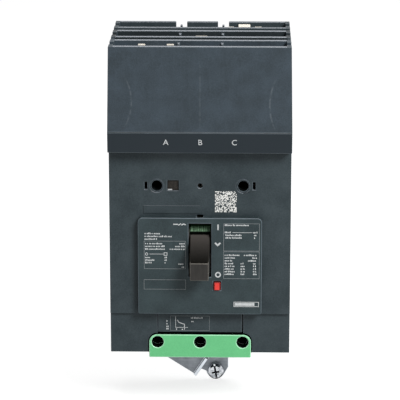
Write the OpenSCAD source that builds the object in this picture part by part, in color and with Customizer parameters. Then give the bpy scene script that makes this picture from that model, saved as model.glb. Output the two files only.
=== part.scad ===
// Plug-on molded case circuit breaker with three poles.
// Bench frame: x across the poles, y = 0 on the mounting face with the front at -y, and z up from
// the case's lower edge.
// placed() lowers that frame by half the case height, so the origin is the centre of the mounting face.

/* [Case] */
// Width of the case
case_w = 113.8; // [108:0.1:140]
// Height of the case, from its lower edge to the line-end rim
case_h = 200; // [180:1:260]
// Depth from the mounting face to the front cover's face
case_d = 78; // [74:0.5:96]
// Depth of the base, up to the parting line with the front cover
base_d = 46; // [45:0.5:48]
// Height at which the line end begins
case_top = 139; // [136:0.5:146]
// Side wall of the mouldings
wall = 2.6; // [2:0.1:3.2]
// Back, front, top and floor walls of the mouldings
plate = 3; // [2.4:0.1:3.4]
// Distance between neighbouring poles
pole_pitch = 27; // [26:0.1:30]
// Thickness of the barriers between poles
barrier = 2; // [1.6:0.1:2.4]
// Setback of the front face below the face plate
step_back = 2; // [1:0.1:3]
// Height of that step
step_z = 26.5; // [22:0.5:26.9]

/* [Line end] */
// Distance between neighbouring bus pockets, front to back
bus_pitch = 31; // [28:0.1:34]
// Front-to-back size of a bus pocket
pocket_d = 16.6; // [15:0.1:18]
// Wall before and behind a bus pocket
rim = 3.4; // [2.6:0.1:3.8]
// Depth of a bus pocket below the rim
pocket_h = 50; // [44:0.5:54]
// Gap in a jaw, for a quarter-inch bus bar
jaw_gap = 6.8; // [6.4:0.1:7.4]
// Gap between a jaw and the divider on either side of it
jaw_side_gap = 1.8; // [0.6:0.1:3]
// How far the shield's lower band stands in front of the cover
shield_proud = 10; // [7:0.5:12]
// How far the shield hangs over the front cover
shield_drop = 5.4; // [2:0.1:6]
// Height of the shield's lower band
band_h = 12.9; // [6:0.1:14]

/* [Face plate] */
// Width of the face plate
face_w = 77.8; // [70:0.1:80]
// Lower edge of the face plate
face_z0 = 27.9; // [27.5:0.1:30]
// Margin of the face plate above the toggle window
window_margin = 3.5; // [2.5:0.1:8]
// How far the face plate stands in front of the cover
face_proud = 5; // [4.6:0.1:6]
// Corner radius of the face plate
face_r = 3; // [1:0.1:5]
// Width of the toggle window
window_w = 14.2; // [13.6:0.1:15]
// Height of the toggle window
window_h = 35; // [34:0.5:37]
// Height of the toggle window's middle
window_z = 69.8; // [69:0.1:70.4]

/* [Toggle] */
// Outer radius of the toggle's curved dust shield
dust_r = 22.6; // [21:0.1:25]
// Gap between the dust shield and the face plate
dust_gap = 0.4; // [0.3:0.1:0.8]
// Angle of the toggle below level when it is off
off_angle = 12.5; // [11:0.5:14]
// Turn of the toggle from off to on
throw_angle = 24; // [20:1:25]
// Gap between the toggle and the window's sides
toggle_gap = 0.8; // [0.4:0.1:1.5]
// Width of the toggle at its tip
toggle_tip_w = 11.6; // [9:0.1:12]

/* [Contacts] */
// Depth of the contact rotor's axis from the mounting face
rotor_depth = 32; // [31.5:0.1:32.5]
// Drop of the contact rotor's axis below the toggle's pivot
rotor_drop = 7.8; // [7:0.1:8.4]
// Radius of the contact rotor
rotor_r = 10; // [9:0.1:10.2]
// Length of the cranks that the drive links join
crank_r = 11; // [10.6:0.1:11.4]
// Half length of a contact bar
bar_r = 24; // [22:0.1:24.4]
// Width of the copper straps
strap_w = 12; // [10:0.5:13]
// Thickness of the copper straps
strap_t = 3; // [2:0.1:3.2]

/* [Load end] */
// Distance from an outer screw hole's middle to the lug carrier's side edge
carrier_side = 5.4; // [4.4:0.1:6]
// Distance from the screw holes' middles to the lug carrier's upper edge
carrier_head = 4.9; // [4.4:0.1:5.2]
// How far the lug carrier reaches below the case
carrier_drop = 3; // [1.5:0.1:4]
// Corner radius of the lug carrier's front
carrier_r = 5; // [2:0.1:6]
// Radius of the wire bore in a lug
wire_r = 5.5; // [4.5:0.1:5.8]
// Radius of the screwdriver holes in the lug carrier
access_r = 3.8; // [3.6:0.1:4.2]
// Height of the lug screws
lug_screw_z = 7.3; // [7:0.1:7.6]

/* [Trip button] */
// Middle of the trip button, across
button_x = 10.9; // [10.8:0.1:11.4]
// Middle of the trip button, up
button_z = 46.7; // [46.4:0.1:47]
// Width of the trip button's cap
button_w = 4.3; // [3.6:0.1:4.6]
// Height of the trip button's cap
button_h = 5.3; // [5:0.1:7]
// Travel of the trip button
button_travel = 1.8; // [1.2:0.1:1.9]

/* [Mounting bracket] */
// Thickness of the bracket's steel
bracket_t = 2; // [1.5:0.1:2.4]
// Place of the mounting screw, across
mount_x = 9; // [6:0.1:10]
// Distance of the mounting screw below the case
mount_drop = 35.9; // [32:0.1:40]
// Radius of the ear's rounded end
ear_r = 6.4; // [6:0.1:8]
// Distance of the ear's straight side from the screw
ear_side = 8.5; // [8:0.1:10]
// Step of the ear in front of the mounting face
joggle = 6; // [4:0.1:8]
// Radius of the mounting screw's shank
mount_r = 2.5; // [2:0.1:2.6]

/* [Hidden] */
$fn = 48;
// Fine fits: running gap of a pin in its hole, and the gap between parts that pass each other
run_gap = 0.05;
pass_gap = 0.3;
POLES = ["a", "b", "c"];
BY_POLE = ["jaw", "line_strap", "line_chute", "load_chute", "contact_bar", "load_strap", "bimetal",
    "load_lug"];
SINGLE = ["base_case", "front_cover", "line_shield", "line_insulator", "face_plate", "load_end_plate",
    "screw_wells", "sight_tab", "lug_carrier", "cover_screws", "case_screws", "mounting_bracket",
    "bracket_rivets", "mounting_screw", "toggle_handle", "handle_yoke", "handle_pin", "toggle_spring",
    "mechanism_frame", "drive_links", "cradle", "cradle_pin", "rotor", "moving_contacts",
    "line_contacts", "load_contacts", "jaw_springs", "lug_screws"];
TRIP = ["trip_button", "trip_spring", "trip_bar", "armature", "magnet_yokes"];

slate = [0.25, 0.28, 0.30];
slate_dark = [0.20, 0.23, 0.25];
warm_black = [0.19, 0.18, 0.17];
leaf_green = [0.44, 0.77, 0.54];
signal_red = [0.85, 0.20, 0.18];
steel = [0.68, 0.70, 0.73];
dark_steel = [0.38, 0.39, 0.41];
copper = [0.80, 0.52, 0.36];
tinned = [0.86, 0.84, 0.78];
silver = [0.90, 0.90, 0.91];
fibre = [0.74, 0.66, 0.52];

// Case limits
case_x = [-case_w / 2, case_w / 2];
inner_x = [-case_w / 2 + wall, case_w / 2 - wall];
front_y = -case_d;
parting_y = -base_d;
front_in_y = front_y + plate;
step_y = front_y + step_back;
cavity_top = case_top - plate;
barrier_xs = [for (k = [-1.5:1:1.5]) k * pole_pitch];
bay_half = (pole_pitch - barrier) / 2;
// Overlap that makes two shapes one solid, and the overshoot of a cut past a face
fuse = 0.1;
past = 1;

// Line end: pocket 0 is at the back, pocket 2 behind the shield
function pocket_y(i) = -(pocket_d / 2 + rim) - i * bus_pitch;
function pole_x(p) = (p - 1) * pole_pitch;
pocket_z = case_h - pocket_h;
pocket_floor = 4;
rear_trough_y = pocket_y(0) - pocket_d / 2 - rim;
shield_back_y = pocket_y(2) + pocket_d / 2 + rim;
shield_top_y = pocket_y(2) - pocket_d / 2 - rim;
shield_low_z = case_top - shield_drop;
band_z = shield_low_z + band_h;
band_y = front_y - shield_proud;
line_draft = 0.9;
line_lip = 0.2;
// Rise of each jaw's prongs and tongue over the rim: the jaws float in their pockets
prong_rise = [0.4, -1.2, -0.5];
tongue_rise = [-3.6, -2.7, -1];
divider = 1.4;
divider_drop = 1.5;
slot_gap = 0.4;
pocket_x = [inner_x[0] + line_draft, inner_x[1] - line_draft];
bus_way_d = jaw_gap + 2.2;
bus_way_h = pocket_h - 10;
notch_w = 7;
notch_h = 12;
jaw_w = pole_pitch - divider - 2 * jaw_side_gap;
jaw_t = 2;
jaw_flare = 1.2;
jaw_flare_h = 5;
jaw_base_h = 3;
jaw_slit_h = 14;
prong_w = 4.4;
tongue_w = 7.6;
jaw_spring_w = 14;
jaw_spring_t = 1;

// Face plate: it runs from below the toggle window to its margin above
face_t = 2;
face_z1 = window_z + window_h / 2 + window_margin;
cover_window_side = 1.5;
cover_window_end = 1.3;

// Toggle and rotor axes, and the parallel cranks between them
pivot_depth = dust_r + dust_gap + face_t - face_proud;
pivot_y = front_y + pivot_depth;
pivot_z = window_z;
rotor_y = -rotor_depth;
rotor_z = pivot_z - rotor_drop;
crank_angle = -97;
crank_y = crank_r * cos(crank_angle);
crank_z = crank_r * sin(crank_angle);
link_length = norm([rotor_y - pivot_y, rotor_z - pivot_z]);
link_angle = atan2(rotor_z - pivot_z, rotor_y - pivot_y);
dust_t = 1.8;
dust_w = window_w + 1;
// The dust shield closes the window from the reset position, past off, up to on
reset_angle = 6;
window_angle = asin(window_h / 2 / dust_r);
dust_spare = 2;
dust_low = off_angle - window_angle - throw_angle - dust_spare;
dust_high = off_angle + window_angle + reset_angle + dust_spare;
hood_angle = off_angle + window_angle - throw_angle - 2.75;
chin_angle = off_angle - window_angle + reset_angle + 10.25;
toggle_w = window_w - 2 * toggle_gap;
tip_reach = 21.6;
tip_high = [1.4 - dust_r - tip_reach, 6.2];
tip_low = [-dust_r - tip_reach, -5.2];
yoke_reach = pivot_depth - plate - 1.5;
yoke_t = 1.5;
yoke_half = 5;
arm_half = 3.5;
hub_r = 4.5;
crank_half = 3;
link_half = 2.6;
link_end_r = 2.9;
arm_x = [8.6, 10];
link_x = [6.9, 8.3];
frame_x = [11, 12.2];
crank_pin_r = 1.5;
handle_pin_r = 2;
pin_reach = frame_x[1] + 0.4;
frame_high = pivot_z + 10;
frame_front_y = pivot_y - 10;
frame_foot = 2;

// Contacts
bar_w = 7;
bar_t = 6;
bar_fit = 0.1;
core_r = 6.4;
button_r = 3;
button_t = 1.5;
pad_r = 3.5;
pad_t = 2;
contact_gap = 0.2;
contact_z = 20;
pad_y = bar_t / 2 + button_t + contact_gap;
strap_y = pad_y + pad_t;
line_run_z = cavity_top - 13;
strap_start = 14;

// Arc chutes
chute_plates = 7;
chute_pitch = 3.4;
chute_plate_t = 1.2;
chute_sheet_t = 1;
chute_half = bay_half - 0.5;
chute_h = 24;
chute_notch = 5.3;
chute_start = 18;
chute_notch_end = bar_r + 1.5;
chute_first = 3;
chute_top = rotor_z + chute_start + chute_h;

// Load end
lug_half = 8.4;
lug_low = 2;
lug_top = 18;
lug_front_y = step_y + 7;
lug_back_y = lug_front_y + 20.5;
wire_y = lug_front_y + 12.5;
carrier_w = 2 * (pole_pitch + carrier_side);
carrier_top = lug_screw_z + carrier_head;
carrier_half = pole_pitch + 11;
carrier_rear_y = lug_back_y + 1.5;
cell_gap = 0.3;
lug_screw_r = 3.4;
hex_r = 2.3;
hex_depth = 4.5;
jog_z = lug_top + 1;
carrier_proud = 1.5;
carrier_gap = 0.6;
end_plate_half = 26.5;
end_flange = 2.5;
end_flange_t = 1.7;
end_plate_z = [carrier_top + carrier_gap + 0.8, step_z - pass_gap];

// Trip chain
stem_z = button_z - 4.2;
stem_r = 1.5;
cup_r = 3.2;
cup_wall = 1.2;
cup_end = 10.5;
cap_proud = 1.2;
flange_y = front_y - button_travel - 0.2;
flange_t = 0.8;
trip_r = 2;
bimetal_y = rotor_y - strap_y - strap_t - 1.5;
bimetal_t = 1;
bimetal_half = 4;
trip_y = bimetal_y - 6.8;
trip_z = stem_z + 5.5;
stem_end_y = trip_y - 2.8;
bimetal_top = trip_z + 8;
armature_y = trip_y + 0.8;
armature_z = trip_z - 9.5;
armature_r = 1.2;
armature_half = strap_w / 2 + 1;
finger_x = [3.6, 5];
ear_plate_y = trip_y - 2.5;
yoke_arm = [strap_w / 2 + 0.3, strap_w / 2 + 2.3];
yoke_back_t = 1.6;
cradle_y = max(trip_y - 1, pivot_y + 7);
cradle_z = pivot_z + 6.7;
cradle_half = 1.5;
cradle_hub_r = 3.2;
frame_t = 1.2;
frame_low = stem_z + stem_r + 8;
frame_back_y = max(parting_y - frame_t, cradle_y + 3.8);

// Screws
cover_screw_z = chute_top + 6.3;
well_r = 3.35;
well_wall = 1.9;
well_rim = 1;
well_fit = 0.1;
bridge_z = around(cover_screw_z, 4.3);
bridge_y = -30;
head_r = 3;
head_h = 2.5;
shank_r = 1.6;
cross_half = 2;
cross_w = 0.9;
cross_depth = 1.5;
case_head_y = -4;
case_screw_x = case_w / 2 - 8.4;
case_screw_zs = [14, case_top - 11];
case_screw_bite = 10;
post_r = 4.5;

// Openings in the front cover beside the cover screws
vent_x = pole_pitch + 6.8;
vent_w = 1.7;
vent_h = 5;
peep_r = 1.6;
pry_w = 3.8;
pry_h = 1.2;
pry_depth = 1.6;
sight_x = [-20.4, -13.3];
sight_z = shifted(cover_screw_z, [-3.3, 3.5]);
sight_sunk = 1.5;

// Bracket
ear_z = -mount_drop;
ear_front_y = -joggle - bracket_t;
bracket_x = [-30, mount_x + ear_side];
ear_cut = 30;
ear_cut_z = ear_z + (ear_side - ear_r * cos(ear_cut)) / tan(ear_cut) - ear_r * sin(ear_cut);
bracket_top = 20;
wing_tip = [mount_x - 13.1, ear_z - 3.7];
wing_slope = 0.635;
flange_top = [mount_x - 5.2, ear_z + 8.2];
flange_proud = 3;
bracket_bend_z = -6;
rivet_r = 1.6;
rivet_gap = 0.05;
rivet_head_r = 2.8;
rivet_xs = [-20, 8];
rivet_z = 11;
screw_head_h = 5.4;
crown_h = 1.6;
crown_r = mount_r + 1.6;
shoulder = 0.4;
mount_head_r = mount_r + 2.8;

// Shapes that repeat: each axis takes its two limits in any order
module block(x, y, z) {
    translate([min(x), min(y), min(z)]) cube([max(x) - min(x), max(y) - min(y), max(z) - min(z)]);
}
module x_rod(y, z, r, x) {
    translate([min(x), y, z]) rotate([0, 90, 0]) cylinder(r = r, h = max(x) - min(x));
}
module y_rod(x, z, r, y) {
    translate([x, max(y), z]) rotate([90, 0, 0]) cylinder(r = r, h = max(y) - min(y));
}
module z_rod(x, y, r, z) {
    translate([x, y, min(z)]) cylinder(r = r, h = max(z) - min(z));
}
module x_prism(points, x) {
    translate([min(x), 0, 0]) rotate([90, 0, 90]) linear_extrude(max(x) - min(x)) polygon(points);
}
module y_prism(points, y) {
    translate([0, max(y), 0]) rotate([90, 0, 0]) linear_extrude(max(y) - min(y)) polygon(points);
}
module z_prism(points, z) {
    translate([0, 0, min(z)]) linear_extrude(max(z) - min(z)) polygon(points);
}
module placed() {
    translate([0, 0, -case_h / 2]) children();
}
module both_sides() {
    children();
    mirror([1, 0, 0]) children();
}
module turned(y, z, angle) {
    translate([0, y, z]) rotate([angle, 0, 0]) children();
}
// Corner points of a rectangle with round corners; lower corners may have a radius of their own
function corner(x, z, r, start, n = 8) = [for (k = [0:n]) let(a = start + k * 90 / n)
    [x + r * cos(a), z + r * sin(a)]];
function rounded(x, z, r, low_r) = concat(
    corner(x[1] - r, z[1] - r, r, 0), corner(x[0] + r, z[1] - r, r, 90),
    corner(x[0] + low_r, z[0] + low_r, low_r, 180), corner(x[1] - low_r, z[0] + low_r, low_r, 270));
function around(middle, half) = [middle - half, middle + half];
function shifted(middle, span) = [middle + span[0], middle + span[1]];
// A coil's wire: centre line points about the y axis, then a tube of triangles on them
function coil_points(r, length, turns, steps) = [for (k = [0:turns * steps])
    [r * cos(k * 360 / steps), length * k / (turns * steps), r * sin(k * 360 / steps)]];
function ring(points, k, wire, sides) = let(
    last = len(points) - 1,
    along = points[min(k + 1, last)] - points[max(k - 1, 0)],
    ahead = along / norm(along),
    side = cross(ahead, [0, 1, 0]) / norm(cross(ahead, [0, 1, 0])),
    up = cross(side, ahead))
    [for (s = [0:sides - 1]) let(a = s * 360 / sides) points[k] + wire * (cos(a) * side + sin(a) * up)];
module wire(points, r, sides = 6) {
    count = len(points);
    skin = [for (k = [0:count - 1]) each ring(points, k, r, sides)];
    walls = [for (k = [0:count - 2]) for (s = [0:sides - 1]) let(
        a = k * sides + s,
        b = k * sides + (s + 1) % sides)
        each [[a, a + sides, b], [b, a + sides, b + sides]]];
    caps = [for (s = [1:sides - 2]) each [[0, s, s + 1],
        [(count - 1) * sides, (count - 1) * sides + s + 1, (count - 1) * sides + s]]];
    polyhedron(skin, concat(walls, caps));
}

// Housing
module strap_slot(p, z) {
    y = pocket_y(2 - p);
    block(around(pole_x(p), strap_w / 2 + slot_gap), around(y, strap_t / 2 + slot_gap), z);
}
module dividers(i) {
    for (x = barrier_xs) if (abs(x) < pole_pitch)
        block(around(x, divider / 2), around(pocket_y(i), pocket_d / 2 + fuse),
            [pocket_z - fuse, case_h - divider_drop]);
}
module pocket(i) {
    difference() {
        block(pocket_x, around(pocket_y(i), pocket_d / 2), [pocket_z, case_h + past]);
        dividers(i);
    }
    block(around(0, case_w), around(pocket_y(i), bus_way_d / 2), [case_h - bus_way_h, case_h + past]);
}
module line_outline(y) {
    top = case_w / 2 + line_lip - line_draft;
    low = case_w / 2 + line_lip;
    y_prism([[-low, shield_low_z], [low, shield_low_z], [low, band_z], [top, case_h],
        [-top, case_h], [-low, band_z]], y);
}
module base_case() color(slate) placed() difference() {
    union() {
        difference() {
            block(case_x, [0, parting_y], [0, case_top]);
            block(inner_x, [-plate, parting_y - past], [plate, cavity_top]);
        }
        intersection() {
            block(case_x, [0, rear_trough_y], [cavity_top, case_h]);
            line_outline([past, rear_trough_y - past]);
        }
        for (x = barrier_xs)
            block(around(x, barrier / 2), [fuse - plate, parting_y], [plate - fuse, cavity_top + fuse]);
        both_sides() {
            block([pole_pitch / 2, pole_pitch * 1.5], [bridge_y, parting_y], bridge_z);
            block(around(pole_pitch / 2, barrier / 2), [parting_y + fuse, ear_plate_y],
                [armature_z - 4.5, trip_z + 4]);
            for (z = case_screw_zs) y_rod(case_screw_x, z, post_r, [fuse - plate, parting_y]);
        }
    }
    pocket(0);
    block(pocket_x, [-plate, rear_trough_y + rim], [cavity_top - past, pocket_z - pocket_floor]);
    strap_slot(2, [pocket_z - pocket_floor - past, pocket_z + fuse]);
    block(around(pole_x(1), strap_w / 2 + slot_gap),
        [pocket_y(1) + strap_t / 2 + slot_gap, parting_y - past], [cavity_top - past, case_top + past]);
    for (x = barrier_xs) if (abs(x) < pole_pitch)
        block(around(x, notch_w / 2), [past, -rim - fuse], [case_h - notch_h, case_h + past]);
    rotor_reach = pole_pitch * 1.5 - barrier / 2;
    x_rod(rotor_y, rotor_z, rotor_r + pass_gap, around(0, rotor_reach));
    block(around(0, rotor_reach), [rotor_y, parting_y - past], around(rotor_z, rotor_r + pass_gap));
    x_rod(trip_y, trip_z, trip_r + run_gap, around(0, pole_pitch));
    x_rod(armature_y, armature_z, armature_r + run_gap, around(0, pole_pitch));
    block(around(0, carrier_half + 2 * pass_gap), [carrier_rear_y + pass_gap, parting_y - past],
        [-past, jog_z + strap_t]);
    for (c = [[pivot_y, pivot_z, handle_pin_r], [cradle_y, cradle_z, crank_pin_r]])
        x_rod(c[0], c[1], c[2] + pass_gap, around(0, pin_reach + pass_gap));
    both_sides() {
        y_rod(pole_pitch, cover_screw_z, shank_r + run_gap, [parting_y - past, bridge_y + past]);
        for (z = case_screw_zs) {
            y_rod(case_screw_x, z, shank_r + run_gap, [past, parting_y - past]);
            y_rod(case_screw_x, z, head_r + pass_gap, [past, case_head_y]);
        }
    }
    block([bracket_x[0] - pass_gap, bracket_x[1] + pass_gap], [past, -bracket_t],
        [-past, bracket_top + pass_gap]);
    for (x = rivet_xs) y_rod(x, rivet_z, rivet_r, [past, -plate - past]);
}
module front_cover() color(slate) placed() difference() {
    union() {
        difference() {
            union() {
                block(case_x, [parting_y, front_y], [step_z, case_top]);
                block(case_x, [parting_y, step_y], [0, step_z + fuse]);
            }
            block(inner_x, [parting_y + past, front_in_y], [step_z + plate, cavity_top]);
            block(inner_x, [parting_y + past, step_y + plate], [plate, step_z + plate + fuse]);
        }
        for (x = barrier_xs) block(around(x, barrier / 2), [parting_y, front_in_y - fuse],
            [face_z1 - 5.8, cavity_top + fuse]);
        both_sides() for (z = case_screw_zs)
            y_rod(case_screw_x, z, post_r, [parting_y, front_in_y - fuse]);
        y_rod(button_x, stem_z, cup_r + cup_wall, [front_in_y - fuse, front_y + cup_end + 1.5]);
    }
    through = [front_y - past, front_in_y + past];
    both_sides() {
        y_rod(pole_pitch, cover_screw_z, well_r + well_rim + well_fit, through);
        block(around(vent_x, vent_w / 2), through, around(cover_screw_z, vent_h / 2));
        for (z = case_screw_zs)
            y_rod(case_screw_x, z, shank_r, [parting_y + past, parting_y - case_screw_bite - 2]);
    }
    y_rod(0, cover_screw_z, peep_r, through);
    block(sight_x, through, sight_z);
    block(around(0, pry_w / 2), [front_y - past, front_y + pry_depth], [face_z1 - 0.6, face_z1 + 0.8]);
    block(around(0, window_w / 2 + cover_window_side), through,
        around(window_z, window_h / 2 + cover_window_end));
    y_rod(button_x, stem_z, cup_r, [front_y - past, front_y + cup_end]);
    y_rod(button_x, stem_z, stem_r + pass_gap, [front_y, front_y + cup_end + 3]);
    block(around(0, carrier_half + 2 * pass_gap), [parting_y + past, step_y + plate], [-past, plate + fuse]);
    load_through = [front_y - past, step_y + plate + past];
    y_prism(rounded(around(0, carrier_w / 2 + carrier_gap), [-10, carrier_top + carrier_gap],
        carrier_r + carrier_gap, 1), load_through);
    block([-end_plate_half - 0.5, end_plate_half + 0.9], load_through, [carrier_top, step_z]);
    strap_slot(0, [line_run_z - slot_gap, case_top + past]);
}
// Tubes that line the cover's two screw holes, with the screws' seats at their feet
module screw_wells() color(slate) placed() both_sides() difference() {
    union() {
        y_rod(pole_pitch, cover_screw_z, well_r + well_wall, [parting_y, front_in_y]);
        y_rod(pole_pitch, cover_screw_z, well_r + well_rim, [front_in_y + fuse, front_y]);
    }
    y_rod(pole_pitch, cover_screw_z, well_r, [front_y - past, parting_y - plate]);
    y_rod(pole_pitch, cover_screw_z, shank_r + pass_gap, [parting_y - plate - past, parting_y + past]);
}
module sight_tab() color([0.33, 0.30, 0.27]) placed() {
    block([sight_x[0] + fuse, sight_x[1] - fuse], [front_y + sight_sunk, front_in_y],
        [sight_z[0] + fuse, sight_z[1] - fuse]);
    block([sight_x[0] - 1, barrier_xs[1] - barrier / 2 - pass_gap], [front_in_y, front_in_y + 1],
        [sight_z[0] - 1.5, sight_z[1] + 1.5]);
}
module line_insulator() color(slate) placed() difference() {
    intersection() {
        union() {
            block(case_x, around(pocket_y(1), pocket_d / 2 + rim), [case_top, case_h]);
            both_sides() block([case_w / 2 - wall, case_w / 2 + line_lip], [rear_trough_y, shield_back_y],
                [case_top, case_h - 1]);
            block(case_x, [rear_trough_y, shield_back_y], [case_top, case_top + plate]);
        }
        line_outline([0, front_y]);
    }
    pocket(1);
    block(pocket_x, around(pocket_y(1), pocket_d / 2), [case_top - past, pocket_z - pocket_floor]);
    strap_slot(1, [case_top - past, pocket_z + fuse]);
}
module line_shield() color(slate) placed() difference() {
    intersection() {
        x_prism([[shield_back_y, case_top], [front_y - pass_gap, case_top],
            [front_y - pass_gap, shield_low_z], [band_y + 0.8, shield_low_z], [band_y, band_z],
            [band_y + 0.6, band_z + 0.3], [shield_top_y, case_h], [shield_back_y, case_h]],
            around(0, case_w));
        line_outline([0, 2 * front_y]);
    }
    pocket(2);
    block(pocket_x, [shield_back_y - rim, band_y + rim + 0.4], [shield_low_z + 2, pocket_z - pocket_floor]);
    strap_slot(0, [case_top - past, pocket_z + fuse]);
}
module face_plate() color(slate_dark) placed() difference() {
    through = [front_y, front_y - face_proud - past];
    y_prism(rounded(around(0, face_w / 2), [face_z0, face_z1], face_r, 1.2), [front_y, front_y - face_proud]);
    y_prism(rounded(around(0, face_w / 2 - face_t), [face_z0 + face_t, face_z1 - face_t], 1, 1),
        [front_y + past, front_y - face_proud + face_t]);
    block(around(0, window_w / 2), through, around(window_z, window_h / 2));
    block(around(button_x, button_w / 2 + pass_gap), through, around(button_z, button_h / 2 + pass_gap));
    block(around(0, pry_w / 2), [front_y + past, front_y - face_proud + face_t],
        [face_z1 - pry_h, face_z1 + past]);
}
module load_end_plate() color(slate_dark) placed() {
    block(around(0, end_plate_half), [step_y, step_y + plate], end_plate_z);
    block(around(0, end_plate_half + end_flange), [step_y + plate, step_y + plate + end_flange_t],
        [carrier_top + carrier_gap, step_z + 2]);
}

// Line end: one jaw, its springs and its strap for each pole
module jaw_leaf(p, outward) {
    y = pocket_y(2 - p);
    inside = jaw_gap / 2;
    outside = inside + jaw_t;
    top = case_h + (outward < 0 ? prong_rise[p] : tongue_rise[p]);
    bend = top - jaw_flare_h;
    x_prism([for (q = [[inside, pocket_z], [inside, bend], [inside + jaw_flare, top],
        [outside + jaw_flare, top], [outside, bend], [outside, pocket_z]])
        [y + outward * q[0], q[1]]], around(pole_x(p), jaw_w / 2));
}
module jaw(p) color(tinned) placed() difference() {
    x = pole_x(p);
    y = pocket_y(2 - p);
    slit_z = [case_h - jaw_slit_h, case_h + max(prong_rise) + past];
    union() {
        jaw_leaf(p, -1);
        jaw_leaf(p, 1);
        block(around(x, jaw_w / 2), around(y, jaw_gap / 2 + jaw_t), [pocket_z, pocket_z + jaw_base_h]);
    }
    block(around(x, jaw_w / 2 - prong_w), [y, y - pocket_d], slit_z);
    for (s = [-1, 1]) block(shifted(x, s * [tongue_w / 2, jaw_w]), [y, y + pocket_d], slit_z);
}
module jaw_springs() color(dark_steel) placed() for (p = [0:2]) {
    leaf = jaw_gap / 2 + jaw_t;
    for (s = [-1, 1]) block(around(pole_x(p), jaw_spring_w / 2),
        shifted(pocket_y(2 - p), s * [leaf, leaf + jaw_spring_t]), [pocket_z + 8, case_h - jaw_slit_h - 2]);
}
module line_strap(p) color(copper) placed() {
    x = around(pole_x(p), strap_w / 2);
    y = pocket_y(2 - p);
    back_y = rotor_y + strap_y;
    run = [line_run_z, line_run_z + strap_t];
    union() {
        block(x, around(y, strap_t / 2), [line_run_z, pocket_z]);
        block(x, [min(y - strap_t / 2, back_y), max(y + strap_t / 2, back_y + strap_t)], run);
        block(x, [back_y, back_y + strap_t], [rotor_z + strap_start, line_run_z + strap_t]);
    }
}

// Arc chutes: steel plates with a notch for the contact bar, between two fibre sheets
module chute(p, side) {
    function out(r) = rotor_z + side * r;
    height = [out(chute_start), out(chute_start + chute_h)];
    ys = [for (k = [0:chute_plates - 1]) rotor_y + side * (chute_first - k * chute_pitch)];
    depth = [ys[0], ys[chute_plates - 1] - side * chute_plate_t];
    for (y = ys) color(dark_steel) difference() {
        block(around(pole_x(p), chute_half - chute_sheet_t), [y, y - side * chute_plate_t], height);
        block(around(pole_x(p), chute_notch), [y + side * past, y - side * (chute_plate_t + past)],
            [out(chute_start - past), out(chute_notch_end)]);
    }
    for (s = [-1, 1]) color(fibre)
        block(shifted(pole_x(p), s * [chute_half - chute_sheet_t, chute_half]), depth, height);
}
module line_chute(p) placed() chute(p, 1);
module load_chute(p) placed() chute(p, -1);

// Contact system: a rotor carries one bar for each pole, with a button at each end
module on_rotor() {
    turned(rotor_y, rotor_z, throw_angle) children();
}
module crank(y, z, x) {
    turned(y, z, crank_angle) {
        block(x, [0, crank_r], around(0, crank_half));
        x_rod(crank_r, 0, crank_half, x);
    }
    x_rod(y + crank_y, z + crank_z, crank_pin_r, [link_x[0] - 0.5, x[0] + fuse]);
}
module rotor() color(slate_dark) placed() difference() {
    union() {
        both_sides() {
            x_rod(rotor_y, rotor_z, rotor_r,
                [frame_x[0] + 0.4, pole_pitch * 1.5 - barrier / 2 - pass_gap]);
            crank(rotor_y, rotor_z, arm_x);
        }
        x_rod(rotor_y, rotor_z, core_r, around(0, frame_x[0] + 0.5));
    }
    on_rotor() for (p = [0:2])
        block(around(pole_x(p), bar_w / 2 + bar_fit), around(0, bar_t / 2 + bar_fit),
            around(0, rotor_r + past));
}
module contact_bar(p) color(copper) placed() on_rotor()
    block(around(pole_x(p), bar_w / 2), around(0, bar_t / 2), around(0, bar_r));
module moving_contacts() color(silver) placed() on_rotor() for (p = [0:2]) for (s = [-1, 1])
    y_rod(pole_x(p), s * contact_z, button_r, s * [bar_t / 2, bar_t / 2 + button_t]);
module fixed_pads(side) {
    for (p = [0:2]) y_rod(pole_x(p), rotor_z + side * contact_z, pad_r,
        shifted(rotor_y, side * [pad_y, pad_y + pad_t]));
}
module line_contacts() color(silver) placed() fixed_pads(1);
module load_contacts() color(silver) placed() fixed_pads(-1);

// Toggle: plastic handle on a steel yoke, linked to the rotor by two bars
module on_toggle() {
    turned(pivot_y, pivot_z, off_angle) children();
}
function toggle_point(r, a) = [-r * cos(a), r * sin(a)];
module dust_sector(r0, r1, a0, a1, x) {
    reach = 2 * r1;
    middle = (a0 + a1) / 2;
    intersection() {
        difference() {
            x_rod(0, 0, r1, x);
            x_rod(0, 0, r0, [min(x) - past, max(x) + past]);
        }
        fan = [for (a = [a0, (a0 + middle) / 2, middle, (a1 + middle) / 2, a1]) toggle_point(reach, a)];
        x_prism(concat([[0, 0]], fan), x);
    }
}
module toggle_handle() color(warm_black) placed() on_toggle() {
    root = dust_r - dust_t + 0.4;
    union() {
        dust_sector(dust_r - dust_t, dust_r, dust_low, dust_high, around(0, dust_w / 2));
        intersection() {
            x_prism([toggle_point(root, hood_angle), toggle_point(dust_r, hood_angle), tip_high, tip_low,
                toggle_point(dust_r, chin_angle), toggle_point(root, chin_angle), toggle_point(root, 0)],
                around(0, toggle_w));
            half = toggle_w / 2;
            tip_half = toggle_tip_w / 2;
            tip = -dust_r - tip_reach - 0.8;
            z_prism([[-tip_half, tip], [tip_half, tip], [half, -dust_r], [half, 0],
                [-half, 0], [-half, -dust_r]], around(0, 2 * dust_r));
        }
        block(around(0, yoke_half - 1), [-yoke_reach, -dust_r + 0.5], around(0, yoke_half - 1));
    }
}
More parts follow.
